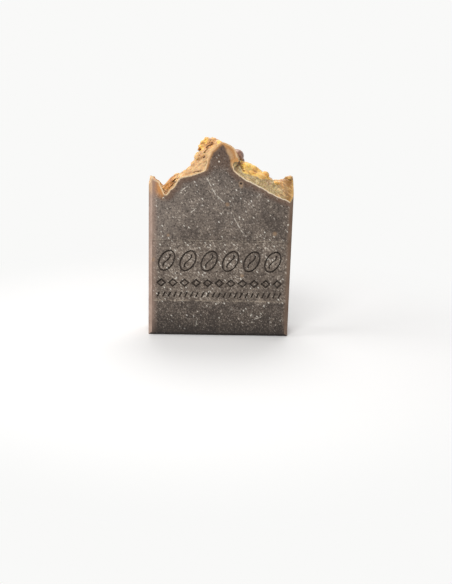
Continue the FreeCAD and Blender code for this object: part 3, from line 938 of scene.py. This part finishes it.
GOLDEN = [
    # centre in mm, and radius
    ((-29.2, -8.4, 74.0), 2.0), ((12.2, -3.0, 85.4), 2.4), ((15.8, -2.6, 84.0), 2.2),
    ((11.0, -5.2, 82.2), 1.9), ((13.6, -5.2, 82.0), 1.7), ((16.4, -5.0, 81.5), 1.7),
    ((19.2, -5.0, 80.6), 1.7), ((22.0, -3.0, 80.8), 2.0), ((26.9, -5.0, 77.6), 1.1),
    ((-10.6, -4.6, 93.6), 1.9), ((-9.0, -5.2, 96.4), 1.5), ((9.8, -5.5, 86.0), 1.2),
    ((-1.4, -8.0, 96.6), 1.0), ((33.8, -3.0, 79.0), 1.0), ((-5.0, 6.0, 90.6), 2.4),
    ((17.0, 6.0, 83.4), 3.0), ((-20.0, 5.5, 78.4), 2.4), ((30.5, 6.0, 78.6), 2.0),
]
CARAMEL = [
    # centre in mm, and radius
    ((-32.8, -7.6, 78.0), 3.4), ((-25.5, -3.0, 76.5), 3.2), ((-21.5, -1.0, 80.6), 2.0),
    ((-17.5, -1.0, 83.4), 1.6), ((-14.4, -2.0, 86.8), 1.6), ((-12.6, -3.2, 90.2), 1.6),
    ((-7.5, -4.2, 95.8), 3.2), ((-4.0, -5.0, 96.4), 2.0), ((32.6, -3.0, 76.5), 3.8),
    ((34.0, -6.0, 72.0), 3.2), ((32.6, -8.0, 69.6), 1.4), ((3.0, -8.0, 96.4), 2.4),
    ((6.8, -7.6, 92.4), 1.6), ((0.5, 3.0, 92.5), 3.2), ((-10.0, 4.0, 90.5), 3.4),
    ((10.0, 8.0, 85.5), 3.0), ((24.0, 7.0, 79.0), 3.0), ((-30.0, 6.0, 76.0), 3.0),
]
OLIVE = [
    # centre in mm, and radius
    ((6.0, -8.4, 85.6), 2.2), ((8.6, -7.6, 82.0), 2.2), ((12.5, -8.0, 79.6), 2.4),
    ((16.5, -7.6, 78.4), 2.6), ((20.5, -7.4, 76.8), 2.8), ((24.5, -7.0, 75.4), 3.0),
    ((28.6, -6.6, 73.8), 2.4), ((30.2, -8.4, 71.0), 1.6), ((4.0, 6.0, 88.0), 3.0),
    ((26.0, 4.0, 77.0), 3.0), ((-14.0, 8.0, 83.0), 3.0),
]
PAINTED_SHADE_SPOTS = [
    # centre in mm, and radius of a spot of painted shade
    ((11.9, -5.1, 83.8), 0.8), ((13.2, -4.1, 83.5), 0.8), ((14.7, -4.3, 83.1), 0.8),
    ((16.1, -4.6, 82.4), 0.8), ((-6.8, -7.6, 94.2), 1.0), ((-5.0, -7.0, 95.6), 0.9),
    ((-9.4, -6.2, 94.6), 0.8), ((-10.2, -7.7, 90.1), 0.9), ((-24.4, -6.4, 75.4), 0.8),
    ((-22.6, -7.6, 77.4), 0.7), ((20.0, -5.6, 80.0), 0.8), ((-17.8, -8.4, 80.8), 0.8),
]
# spots of painted shade along the crevices, a little wider than the crevices themselves
PAINTED_CREVICE_SHADE_SPOTS = [(tuple(place), half_width * 1.3) for place, _, half_width, _ in crevice_spots()]

rows = places(soap)
ends = ends_of_edges(soap)
still_open = np.empty(len(rows), dtype=np.float32)
soap.data.attributes["open"].data.foreach_get("value", still_open)
worked_top = still_open > 0.5

calm = smoothed(rows, ends, SMOOTHING_ROUNDS)
normals = np.empty(len(rows) * 3, dtype=np.float32)
soap.data.vertices.foreach_get("normal", normals)
relief = ((rows - calm) * normals.reshape(-1, 3)).sum(axis=1)
# the relief later gives the crust painted highlights on its ridges and painted shade in its hollows
keep(soap, "relief", np.where(worked_top, relief, 0))

open_side = KDTree(int(worked_top.sum()))
for k, spot in enumerate(rows[worked_top]):
    open_side.insert(spot, k)
open_side.balance()
skin = np.full(len(rows), FAR_FROM_SKIN)
for k in np.nonzero(~worked_top & (rows[:, 2] > WORKED_FROM - 6))[0]:
    skin[k] = open_side.find(rows[k])[2]
skin[worked_top] = 0
keep(soap, "skin", skin)
# the shaded spots and the crevice spots are painted shade on the crust
ZONES = {"golden": GOLDEN, "caramel": CARAMEL, "olive": OLIVE, "painted_shade": PAINTED_SHADE_SPOTS, "painted_crevice_shade": PAINTED_CREVICE_SHADE_SPOTS}
for name, spheres in ZONES.items():
    keep(soap, name, strongest(rows, spheres))
print("worked top:", int(worked_top.sum()), "of", len(rows), "vertices; relief",
      relief[worked_top].min().round(2), relief[worked_top].max().round(2))

# %% [markdown]
# On the cut faces the crust shows as tan soap. On the front it covers the nose, up to a slanting edge
# with the dark core that is given below by its height, a thin band left of the peak, and the horn by
# the left wall. On the back it is a plain band under the crust.

# %% Tan zones on the cut faces
NOSE_FROM = 84.0
BAND_FROM, BAND_WIDTH = 82.5, 1.5
HORN_FROM, HORN_EDGE = 70.0, -27.6
BACK_BAND_WIDTH = 2.4
CORE_EDGE = [
    # height and place across, in mm
    (84.4, 4.6), (85.7, 4.2), (87.6, 3.9), (90.0, 3.4), (91.9, 2.0), (94.3, 1.2), (95.6, 0.2), (97.5, -1.0),
]


def tan_on_face(rows, skin):
    """How much the crust's tan shows on the cut face: right of the dark core, and a band left of it."""
    x, y, z = rows.T
    heights, edges = zip(*CORE_EDGE)
    right_of_core = np.clip((x - np.interp(z, heights, edges)) / 0.7 + 0.5, 0, 1)
    right_of_core *= np.clip((z - NOSE_FROM) / 0.8, 0, 1)
    band = np.clip((BAND_WIDTH - skin) / 0.8, 0, 1) * (x < 1.0) * np.clip((z - BAND_FROM) / 1.5, 0, 1)
    under_horn = np.clip((z - HORN_FROM + (x + 34) * 0.3) / 4.0, 0, 1) * (x < HORN_EDGE)
    back = np.clip((BACK_BAND_WIDTH - skin) / 1.2, 0, 1)
    return np.where(y < 0, np.max([right_of_core, band, under_horn], axis=0), back)


tan = tan_on_face(rows, skin)
keep(soap, "tan", tan)
print("tan on", int((tan > 0.5).sum()), "vertices")

# %% [markdown]
# Shader maths reads badly as a chain of clicks, so a material's sockets are wrapped in a small class
# that understands +, - and *. Each sum then adds its own Math node, and one method adds any other
# node from its type, its settings and the values or links of its sockets.

# %% Arithmetic on sockets
class Wire:
    """One output of a node. Sums on it add Math nodes to the same material."""

    def __init__(self, finish, socket):
        self.finish = finish
        self.socket = socket

    def sum(self, operation, first, second):
        return self.finish.node("ShaderNodeMath", {"operation": operation}, {0: first, 1: second})

    def __add__(self, other):
        return self.sum("ADD", self, other)

    def __sub__(self, other):
        return self.sum("SUBTRACT", self, other)

    def __mul__(self, other):
        return self.sum("MULTIPLY", self, other)

    def __rsub__(self, other):
        return self.sum("SUBTRACT", other, self)

    __radd__ = __add__
    __rmul__ = __mul__

    def __abs__(self):
        return self.finish.node("ShaderNodeMath", {"operation": "ABSOLUTE"}, {0: self})

    def between(self, low, high):
        """0 below low, 1 above high, and smooth between them; low may be the larger."""
        sockets = {"Value": self, "From Min": low, "From Max": high}
        return self.finish.node("ShaderNodeMapRange", {"interpolation_type": "SMOOTHSTEP"}, sockets)


class Finish:
    """A material in the making, or the sky when a world is given."""

    def __init__(self, name, world=None):
        self.material = world or bpy.data.materials.new(name)
        self.material.use_nodes = True
        self.tree = self.material.node_tree
        self.tree.nodes.clear()

    def node(self, kind, settings=None, sockets=None, out=0):
        made = self.tree.nodes.new(kind)
        for word, value in (settings or {}).items():
            setattr(made, word, value)
        for key, value in (sockets or {}).items():
            if isinstance(value, Wire):
                self.tree.links.new(value.socket, made.inputs[key])
            else:
                made.inputs[key].default_value = value
        return Wire(self, made.outputs[out])

    def place(self):
        """The spot on the object, in mm."""
        here = self.node("ShaderNodeTexCoord", out="Object")
        return self.node("ShaderNodeVectorMath", {"operation": "SCALE"}, {0: here, "Scale": 1 / MM})

    def axes(self, vector):
        """Its three parts; of a place, how far across, how far behind the middle and how high."""
        parts = self.node("ShaderNodeSeparateXYZ", None, {0: vector}).socket.node.outputs
        return [Wire(self, part) for part in parts]

    def measured(self, name):
        return self.node("ShaderNodeAttribute", {"attribute_name": name}, out="Fac")

    def noise(self, at, grain, detail=3.0, rough=0.6):
        """Even noise whose grains are about this many mm across."""
        sockets = {"Vector": at, "Scale": 1 / grain, "Detail": detail, "Roughness": rough}
        return self.node("ShaderNodeTexNoise", None, sockets)

    def drawn_out(self, at, slope, stretch):
        """The place turned and squeezed, so that a pattern on it runs down to the right at this slope."""
        sockets = {0: at, "Rotation": (0, math.radians(slope), 0), "Scale": (stretch, 1, 1 / stretch)}
        return self.node("ShaderNodeMapping", {"vector_type": "TEXTURE"}, sockets)

    def gap(self, at, spot):
        """How far the place is from one spot, in mm."""
        return self.node("ShaderNodeVectorMath", {"operation": "DISTANCE"}, {0: at, 1: spot}, out="Value")

    def mix(self, amount, first, second):
        return self.node("ShaderNodeMix", {"data_type": "RGBA"}, {0: amount, 6: first, 7: second}, out=2)

    def coat(self, colour, *layers):
        """The colour under thin layers, each given by how much of it shows and its own colour."""
        for amount, tone in layers:
            colour = self.mix(amount, colour, paint(*tone))
        return colour

    def bump(self, height, strength, distance):
        sockets = {"Height": height, "Strength": strength, "Distance": distance}
        return self.node("ShaderNodeBump", None, sockets)

    def surface(self, colour, rough, bump, **constants):
        sockets = {"Base Color": colour, "Roughness": rough, "Normal": bump, **constants}
        return self.end_in(self.node("ShaderNodeBsdfPrincipled", None, sockets))

    def end_in(self, shader, kind="ShaderNodeOutputMaterial"):
        end = self.tree.nodes.new(kind)
        self.tree.links.new(shader.socket, end.inputs["Surface"])
        return self.material


def paint(red, green, blue):
    """A colour as a screen shows it, 0 to 255, as the light that Blender reckons with."""
    parts = []
    for level in (red, green, blue):
        level /= 255
        parts.append(level / 12.92 if level <= 0.04045 else ((level + 0.055) / 1.055) ** 2.4)
    return (*parts, 1.0)


print("a mid brown is", [round(c, 3) for c in paint(116, 107, 98)])

# %% [markdown]
# The cut face is dark grey-brown and full of ground coffee and pale grains about a millimetre across
# or less. It could be one noise, but the real face shows three things at once: a soft mottling, a
# dense dark and light grain, and a few pale flecks, so three patterns are laid over one another. The
# pale line and the tan bands come from the measured skin.

# %% Patterns of the cut face
TAN_SPOTS = [
    # x and z on the front face, and half size
    (26.4, 52.9, 1.0), (11.1, 31.5, 0.9), (3.0, 66.9, 0.9), (-25.4, 51.2, 0.7), (9.4, 76.0, 0.9),
    (-33.0, 39.0, 1.1),
]
PALE_CHIPS = [
    (-27.9, 69.4, 0.55), (-1.6, 87.4, 0.5), (-7.0, 79.0, 0.45), (-17.4, 73.2, 0.4), (-19.4, 72.2, 0.4),
    (30.6, 58.4, 0.4), (16.8, 7.6, 0.4), (-10.8, 6.0, 0.4), (24.0, 62.0, 0.35), (-10.6, 12.8, 0.4),
]
NOSE_HOLLOW = (6.8, -HALF_THICKNESS, 87.4)
print(len(TAN_SPOTS), "tan spots and", len(PALE_CHIPS), "pale chips")


def face_patterns(f):
    """What the finish of the cut faces is mixed from: places, measures, noises and masks."""
    s = SimpleNamespace(at=f.place(), skin=f.measured("skin"))
    s.across, depth, s.up = f.axes(s.at)
    s.in_front = depth.between(0, -1)
    s.grain = f.noise(s.at, 0.85, 3.0, 0.66)
    s.patches = f.noise(s.at, 4.2, 3.0, 0.6)
    s.cloud = f.noise(s.at, 11.0, 2.0, 0.5)
    drag = f.drawn_out(s.at, 50, 1.4)
    s.chalk = f.noise(drag, 0.85, 3.0, 0.7)

    s.edge = abs(s.across)
    level = s.up.between(PANEL_LOW - 0.1, PANEL_LOW) * s.up.between(PANEL_HIGH + 0.1, PANEL_HIGH)
    s.in_panel = s.edge.between(PANEL_HALF_WIDTH + 0.2, PANEL_HALF_WIDTH + 0.1) * level * s.in_front
    s.groove = depth.between(0.45 - HALF_THICKNESS, 0.9 - HALF_THICKNESS) * s.in_panel
    s.lively = (s.patches - 0.5) * 0.9 + (s.cloud - 0.5) * 0.7 + s.in_panel * 0.14
    by_crust = (s.skin + (s.patches - 0.5) * 3.0).between(4.8, 0.8)
    s.calm = (by_crust + s.up.between(80, 90)).between(0, 1)
    s.busy = 1 - s.calm * 0.6

    cell = {"Vector": drag, "Scale": 0.62}
    gap = f.node("ShaderNodeTexVoronoi", {"feature": "F1"}, cell)
    lot = f.axes(f.node("ShaderNodeTexVoronoi", {"feature": "F1"}, cell, out=1))[0]
    some = (lot + s.lively * 0.4).between(0.7, 0.86) * s.busy
    s.flecks = (gap + (s.grain - 0.5) * 0.5).between(0.3, 0.12) * some
    s.to_hollow = f.gap(s.at, NOSE_HOLLOW)
    return s


# %% [markdown]
# The core is built up like the real one, from the ground colour to the smallest grains: lighter to the left
# and in the upper half, calm and brown by the crust, and darker at the foot by painted shade.

# %% Core of the cut face
def core_colour(f, s):
    mottling = (s.cloud * 0.6 + s.patches * 0.4).between(0.38, 0.62)
    ground = f.mix(mottling, paint(80, 70, 63), paint(108, 96, 86))
    return f.coat(
        ground,
        (s.across.between(-12, -32) * s.up.between(24, 50) * 0.46, (140, 128, 118)),
        (s.up.between(46, 66) * s.calm.between(1, 0) * s.across.between(26, 8) * 0.26, (132, 122, 114)),
        # painted shade, darker towards the foot
        (s.up.between(28, 2) * 0.68, (48, 40, 35)),
        (s.in_panel * 0.22, (136, 122, 108)),
        (s.calm * 0.75, (104, 80, 66)),
        (s.up.between(80, 88) * 0.4, (86, 68, 56)),
        ((s.grain + s.lively * 0.12).between(0.5, 0.68) * s.busy * 0.55, (160, 146, 132)),
        (s.grain.between(0.48, 0.34) * 0.8, (42, 33, 27)),
        ((s.chalk + s.lively * 0.2).between(0.6, 0.68) * s.busy * 0.8, (208, 196, 182)),
        (s.flecks * 0.92, (236, 230, 218)),
    )


# %% [markdown]
# Where the crust itself is cut through, it is tan with a golden edge to the open air. The nose has a
# band of its own, which leaves the hollow under it olive, and the horn by the left wall is orange.

# %% Crust of the cut face
def cut_crust_colour(f, s, near_open):
    crust = f.mix(s.grain.between(0.35, 0.68), paint(166, 122, 82), paint(206, 160, 108))
    crust = f.coat(
        crust,
        (s.up.between(89.5, 86.5) * s.across.between(2, 4), (184, 164, 122)),
        (near_open * 0.7, (218, 152, 80)),
    )
    inward = s.skin + (s.grain - 0.5) * 3.0
    rim = s.skin + (s.grain - 0.5) * 1.2
    band = f.mix(inward.between(1.2, 2.8), paint(188, 130, 72), paint(202, 164, 122))
    band = f.coat(band, (rim.between(1.2, 0.7) * 0.6, (224, 184, 136)))
    on_nose = s.across.between(0.8, 2.4) * s.up.between(86.0, 87.6)
    crust = f.mix(on_nose * 0.8 * s.to_hollow.between(1.6, 2.6), crust, band)
    from_wall = s.across + (s.grain - 0.5) * 3.0
    horn = f.mix(from_wall.between(-32.6, -29.6), paint(156, 114, 92), paint(214, 146, 80))
    return f.mix(s.across.between(-27.6, -28.4) * 0.8, crust, horn)


# %% [markdown]
# Single marks come last: tan spots and pale chips, scratches, the bubble with its pale ring and painted shade
# in its pit, painted shade on the floors of the stamp's grooves, painted highlights along the edges of its
# panel, and a painted shade at the foot.

# %% Cut soap
def scratch(f, at, start, end):
    """1 along the line between the two spots of the front face, fading beside it and past its ends."""
    (x0, z0), (x1, z1) = start, end
    length = math.hypot(x1 - x0, z1 - z0)
    dx, dz = (x1 - x0) / length, (z1 - z0) / length
    middle = ((x0 + x1) / 2, -HALF_THICKNESS, (z0 + z1) / 2)
    from_middle = f.node("ShaderNodeVectorMath", {"operation": "SUBTRACT"}, {0: at, 1: middle})

    def gone(*way):
        sockets = {0: from_middle, 1: way}
        return abs(f.node("ShaderNodeVectorMath", {"operation": "DOT_PRODUCT"}, sockets, out="Value"))

    along = gone(dx, 0, dz).between(length / 2 + 0.3, length / 2 - 0.5)
    return along * gone(dz, 0, -dx).between(0.36, 0.12)


def cut_soap():
    f = Finish("cut_soap")
    s = face_patterns(f)
    near_open = (s.skin + (s.patches - 0.5) * 1.6).between(2.2, 0.4)
    colour = f.coat(core_colour(f, s), (near_open * 0.3, (140, 108, 84)))
    colour = f.mix(f.measured("tan") * 0.92, colour, cut_crust_colour(f, s, near_open))

    peak = s.up.between(84, 86) * s.across.between(-8.5, -6.5)
    pale_line = (s.skin + (s.chalk - 0.5) * 0.9 + s.across.between(6, 10) * 0.12).between(0.85, 0.3)
    pale_line = pale_line * (1 - peak * 0.45) * s.to_hollow.between(1.4, 2.8)
    cream = f.mix(s.across.between(4, 12), paint(240, 212, 172), paint(252, 234, 204))
    colour = f.mix(pale_line * 0.92, colour, cream)
    # pale bloom by both walls, with the strip by the left wall painted paler as painted light from the left
    shaken = s.across + (s.patches - 0.5) * 1.2
    colour = f.coat(
        colour,
        (shaken.between(-30.0, -33.3) * 0.62, (168, 141, 126)),
        (shaken.between(31.6, 33.6) * 0.45, (138, 113, 95)),
    )

    for x, z, half in TAN_SPOTS:
        gap = f.gap(s.at, (x, -HALF_THICKNESS, z)) + (s.grain - 0.5) * 1.6
        colour = f.coat(colour, (gap.between(half * 1.5, half * 0.4) * 0.5, (178, 146, 114)))
    for x, z, half in PALE_CHIPS:
        gap = f.gap(s.at, (x, -HALF_THICKNESS, z)) + (s.grain - 0.5) * 0.8
        colour = f.coat(colour, (gap.between(half, half * 0.5) * 0.9, (232, 222, 206)))
    broken = s.chalk.between(0.42, 0.52) * s.in_front
    for start, end in SCRATCHES:
        colour = f.coat(colour, (scratch(f, s.at, start, end) * broken * 0.85, (214, 206, 194)))
    bubble = f.gap(s.at, (BUBBLE[0], -HALF_THICKNESS, BUBBLE[1]))
    colour = f.coat(
        colour,
        (bubble.between(1.5, 0.8) * 0.6, (168, 140, 112)),
        # painted shade in the bubble's pit
        (bubble.between(0.8, 0.45) * 0.9, (42, 30, 24)),
        # painted shade on the floors of the stamp's grooves
        (s.groove * 0.75, (48, 37, 30)),
    )
    # painted highlights along the top and bottom edges of the panel
    for z in (PANEL_LOW - 0.15, PANEL_HIGH + 0.15):
        line = abs(s.up - z).between(0.4, 0.12) * (s.chalk + s.lively * 0.5).between(0.42, 0.58) * s.in_front
        colour = f.coat(colour, (line * 0.6 * s.edge.between(34, 33), (180, 166, 148)))
    # painted shade at the foot
    colour = f.coat(colour, (s.up.between(12, 0) * 0.72, (36, 29, 25)))

    bump = f.bump(s.grain * 0.5 + s.flecks * 0.4 + s.patches * 0.3, 0.6, 0.0004)
    return f.surface(colour, 0.6 + (s.grain - 0.5) * 0.3, bump, **{"Specular IOR Level": 0.4})


cut_finish = cut_soap()
print(cut_finish.name, "has", len(cut_finish.node_tree.nodes), "nodes")


# %% [markdown]
# The crust is lighter soap with caramel and ground spice in it, and it is slightly see-through: thin torn
# edges are golden, and hollows are painted dark brown as painted shade. Tan is the ground colour, and the
# measured olive, caramel and golden zones tint it. Streaks follow the spoon, which went down both flanks, so
# their pattern is folded at the middle. Ridges get painted highlights and hollows painted shade by the
# measured relief, the shaded spots and the crevices get painted shade, a few spots get painted highlights,
# and a little subsurface light does the rest.

# %% Crust
PAINTED_HIGHLIGHTS = [
    # place in mm, reach, strength and colour of a painted highlight
    ((6.4, -8.8, 87.0), 2.4, 0.6, (218, 194, 146)), ((12.8, -4.4, 84.8), 3.4, 0.5, (255, 226, 128)),
    ((19.4, -5.6, 80.8), 2.4, 0.3, (250, 210, 130)), ((-31.9, -9.4, 76.4), 1.8, 0.4, (226, 168, 108)),
]


def crust():
    f = Finish("worked_crust")
    at = f.place()
    relief = f.measured("relief")
    grain = f.noise(at, 0.8, 4.0, 0.7)
    patches = f.noise(at, 2.6, 3.0, 0.6)
    shift = (patches - 0.5) * 0.9
    golden = (f.measured("golden") + shift).between(0.35, 0.85)
    caramel = (f.measured("caramel") + shift).between(0.25, 0.85)
    olive = (f.measured("olive") + shift * 0.7).between(0.2, 0.8)
    # painted shade along the crevices
    painted_crevice_shade = f.measured("painted_crevice_shade").between(0.2, 0.9)
    # painted shade in the shaded spots
    painted_shade = (f.measured("painted_shade") + shift * 0.5).between(0.15, 0.75)

    across, depth, up = f.axes(at)
    folded = f.node("ShaderNodeCombineXYZ", None, {0: abs(across), 1: depth, 2: up})
    torn = f.noise(f.drawn_out(folded, 36, 2.2), 1.9, 3.0, 0.5)

    def blend(low, high, first, second):
        return f.mix(patches.between(low, high), paint(*first), paint(*second))

    colour = blend(0.3, 0.7, (184, 142, 94), (214, 174, 120))
    colour = f.mix(olive * 0.9, colour, blend(0.35, 0.7, (160, 140, 98), (196, 174, 128)))
    colour = f.mix(caramel * 0.85, colour, blend(0.36, 0.66, (166, 110, 52), (222, 162, 82)))
    colour = f.mix(golden * 0.9, colour, blend(0.3, 0.66, (218, 152, 58), (250, 206, 104)))
    speckled = olive * (1 - golden)
    colour = f.coat(
        colour,
        (across.between(28.5, 31.5) * 0.8, (142, 104, 52)),
        (across.between(-27.5, -31.5) * 0.35, (172, 110, 66)),
        # painted shade in the shaded spots
        (painted_shade * 0.5, (172, 118, 70)),
        (torn.between(0.47, 0.36) * 0.6, (140, 92, 50)),
        (torn.between(0.53, 0.66) * 0.4, (238, 200, 138)),
        # painted highlights on the ridges and painted shade in the hollows, by the measured relief
        (relief.between(0.08, 0.4) * 0.4, (240, 198, 126)),
        (relief.between(-0.07, -0.4) * 0.75, (110, 68, 32)),
        # painted shade along the crevices
        (painted_crevice_shade * 0.65, (118, 76, 40)),
        (grain.between(0.62, 0.76) * 0.3, (246, 224, 180)),
        (speckled * grain.between(0.5, 0.38) * 0.8, (128, 106, 70)),
        (speckled * grain.between(0.54, 0.66) * 0.6, (232, 214, 168)),
    )
    # painted highlights on single spots
    for spot, reach, strength, tone in PAINTED_HIGHLIGHTS:
        painted_highlight = (f.gap(at, spot) + shift).between(reach, reach * 0.4)
        colour = f.coat(colour, (painted_highlight * strength, tone))

    bump = f.bump(grain * 0.3 + torn, 0.4, 0.0004)
    rough = 0.5 + (patches - 0.5) * 0.3
    glow = {"Subsurface Weight": 0.35, "Subsurface Radius": (1.0, 0.55, 0.2), "Subsurface Scale": 0.0014}
    return f.surface(colour, rough, bump, **glow)


crust_finish = crust()
print(crust_finish.name, "has", len(crust_finish.node_tree.nodes), "nodes")


# %% [markdown]
# The walls that touched the mould and the planed strips are smoother and paler than the cut faces: a thin
# pinkish bloom of soda ash lies on them, and the grain shows only faintly. The left one is painted paler than
# the right one, as painted light from the left.

# %% Mould walls
def bloom_and_side_light_wall():
    f = Finish("bloom_and_side_light_wall")
    at = f.place()
    grain = f.noise(at, 1.3, 4.0, 0.65)
    cloud = f.noise(at, 6.0, 3.0, 0.55)
    bloom = cloud.between(0.3, 0.7)
    # pale bloom on both walls; the left one is paler and pinker than the right one as painted light from the
    # left
    left = f.mix(bloom, paint(150, 126, 112), paint(176, 152, 138))
    right = f.mix(bloom, paint(120, 96, 78), paint(142, 118, 100))
    pale_line = (f.measured("skin") + (cloud - 0.5) * 0.4).between(0.62, 0.22)
    colour = f.coat(
        f.mix(f.axes(at)[0].between(-5, 5), left, right),
        (grain.between(0.45, 0.28) * 0.5, (104, 84, 72)),
        (f.measured("tan") * 0.6, (196, 156, 112)),
        (pale_line * 0.8, (226, 202, 164)),
    )
    bump = f.bump(grain, 0.35, 0.0002)
    return f.surface(colour, 0.55 + (grain - 0.5) * 0.2, bump, **{"Specular IOR Level": 0.4})


wall_finish = bloom_and_side_light_wall()
print(wall_finish.name, "has", len(wall_finish.node_tree.nodes), "nodes")


# %% [markdown]
# Each face of the soap's mesh takes one of the three finishes: by the plane that it lies on, or, where
# it lies on none, by whether it touches the worked top. The floors of pits and grooves count as cut.

# %% Dress the soap
CUT, CRUST, WALL = range(3)
soap.data.materials.clear()
for finish in (cut_finish, crust_finish, wall_finish):
    soap.data.materials.append(finish)

choice = []
for face in soap.data.polygons:
    is_open = worked_top[list(face.vertices)].any()
    centre = face.center
    flat_cut = abs(abs(centre.y) - HALF_THICKNESS) < PLANE_SLACK
    flat_wall = abs(abs(centre.x) - HALF_WIDTH) < PLANE_SLACK
    strip = abs(abs(centre.x) + abs(centre.y) - STRIP_SUM) < PLANE_SLACK
    if flat_wall or strip:
        choice.append(WALL)
    elif flat_cut or not is_open:
        choice.append(CUT)
    else:
        choice.append(CRUST)
soap.data.polygons.foreach_set("material_index", choice)
soap.data.update()
print("faces: cut", choice.count(CUT), "crust", choice.count(CRUST), "walls", choice.count(WALL))

# %% [markdown]
# Roasted beans are dark brown with a faint mauve bloom and an oily gloss. A clear coat is not needed: a low
# roughness broken up by noise reads as oil.

# %% Roasted skin
def roasted_skin():
    f = Finish("roasted_skin")
    at = f.place()
    grain = f.noise(at, 0.7, 4.0, 0.6)
    patches = f.noise(at, 2.4, 2.0, 0.5)
    colour = f.mix(patches.between(0.35, 0.65), paint(120, 76, 54), paint(180, 132, 102))
    colour = f.coat(colour, (grain.between(0.5, 0.3) * 0.5, (52, 30, 24)))
    bump = f.bump(grain + patches * 0.5, 0.4, 0.0003)
    return f.surface(colour, 0.34 + (patches - 0.5) * 0.3, bump, **{"Specular IOR Level": 0.55})


skin_finish = roasted_skin()
for bean in beans.values():
    bean.data.materials.clear()
    bean.data.materials.append(skin_finish)
print("beans dressed:", len(beans))

# %% [markdown]
# Everything was made in millimetres round the origin. One resize in edit mode brings each mesh to
# metres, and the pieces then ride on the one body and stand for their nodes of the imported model.

# %% Bring to metres and hang on the frame
def to_metres(piece):
    pick(piece)
    edit()
    bpy.ops.transform.resize(value=(MM, MM, MM), center_override=(0, 0, 0))
    leave_edit()


to_metres(soap)
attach(soap, "root")
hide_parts("soap_bar")
for node, bean in beans.items():
    to_metres(bean)
    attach(bean, "root")
    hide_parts(node)
print("pieces:", [soap.name, *(bean.name for bean in beans.values())])

# %% [markdown]
# The bar stands on a pale floor in soft light that comes from all round, strongest from above and
# behind and from the left. The floor is plain and takes the bar's soft shadow; far from the bar it
# fades into the backdrop, which is a flat pale white for the camera and for mirrors only.

# %% Floor and backdrop
BACKDROP = paint(249, 249, 248)


def seen_directly(f):
    """1 for a ray that shows the backdrop itself: from the camera, off a gloss or through glass."""
    kinds = ("Is Camera Ray", "Is Glossy Ray", "Is Transmission Ray")
    camera, gloss, glass = (f.node("ShaderNodeLightPath", out=kind) for kind in kinds)
    return f.node("ShaderNodeMath", {"operation": "ADD", "use_clamp": True}, {0: camera + gloss, 1: glass})


def pale_floor():
    f = Finish("pale_floor")
    from_bar = f.gap(f.place(), (0, 0, 0))
    tone = f.mix(seen_directly(f), paint(150, 148, 146), paint(226, 225, 224))
    matt = f.node("ShaderNodeBsdfDiffuse", None, {"Color": tone})
    plain = f.node("ShaderNodeEmission", None, {"Color": BACKDROP, "Strength": 1.0})
    far = from_bar.between(70, 190) * seen_directly(f)
    return f.end_in(f.node("ShaderNodeMixShader", None, {0: far, 1: matt, 2: plain}))


bpy.ops.object.select_all(action="DESELECT")
bpy.ops.mesh.primitive_plane_add(size=8.0)
floor = bpy.context.object
floor.name = "pale_floor"
floor.data.materials.append(pale_floor())
print("floor:", floor.name)

# %% [markdown]
# The sky lights everything evenly with a weak white, and shows the backdrop's own colour to a ray that
# sees it directly.

# %% Sky
SKY_LIGHT = 0.37
world = bpy.data.worlds.new("studio")
bpy.context.scene.world = world
sky = Finish("studio", world)
light = sky.node("ShaderNodeBackground", None, {"Color": (1, 1, 1, 1), "Strength": SKY_LIGHT})
shown = sky.node("ShaderNodeBackground", None, {"Color": BACKDROP, "Strength": 1.0})
both = sky.node("ShaderNodeMixShader", None, {0: seen_directly(sky), 1: light, 2: shown})
sky.end_in(both, "ShaderNodeOutputWorld")
print("sky light", SKY_LIGHT)

# %% [markdown]
# Three large soft lamps shape the bar: the strongest is above and behind it and draws the bright rim of
# the crust, one stands to the left, and a weak one above the camera opens the dark of the front face.

# %% Lamps
def softbox(name, place, size, watts):
    """A square lamp that faces the middle of the bar."""
    turn = (Vector((0, 0, 0.05)) - Vector(place)).to_track_quat("-Z", "Y").to_euler()
    bpy.ops.object.light_add(type="AREA", location=place, rotation=turn)
    lamp = bpy.context.object
    lamp.name = name
    lamp.data.size = size
    lamp.data.energy = watts
    return lamp


softbox("lamp_above_behind", (0.05, 0.45, 0.75), 0.6, 4.2)
softbox("lamp_left", (-0.75, -0.10, 0.35), 0.5, 3.6)
softbox("lamp_front", (-0.12, -0.42, 0.46), 0.3, 2.3)
bpy.context.scene.view_settings.view_transform = "Standard"
print("three lamps")
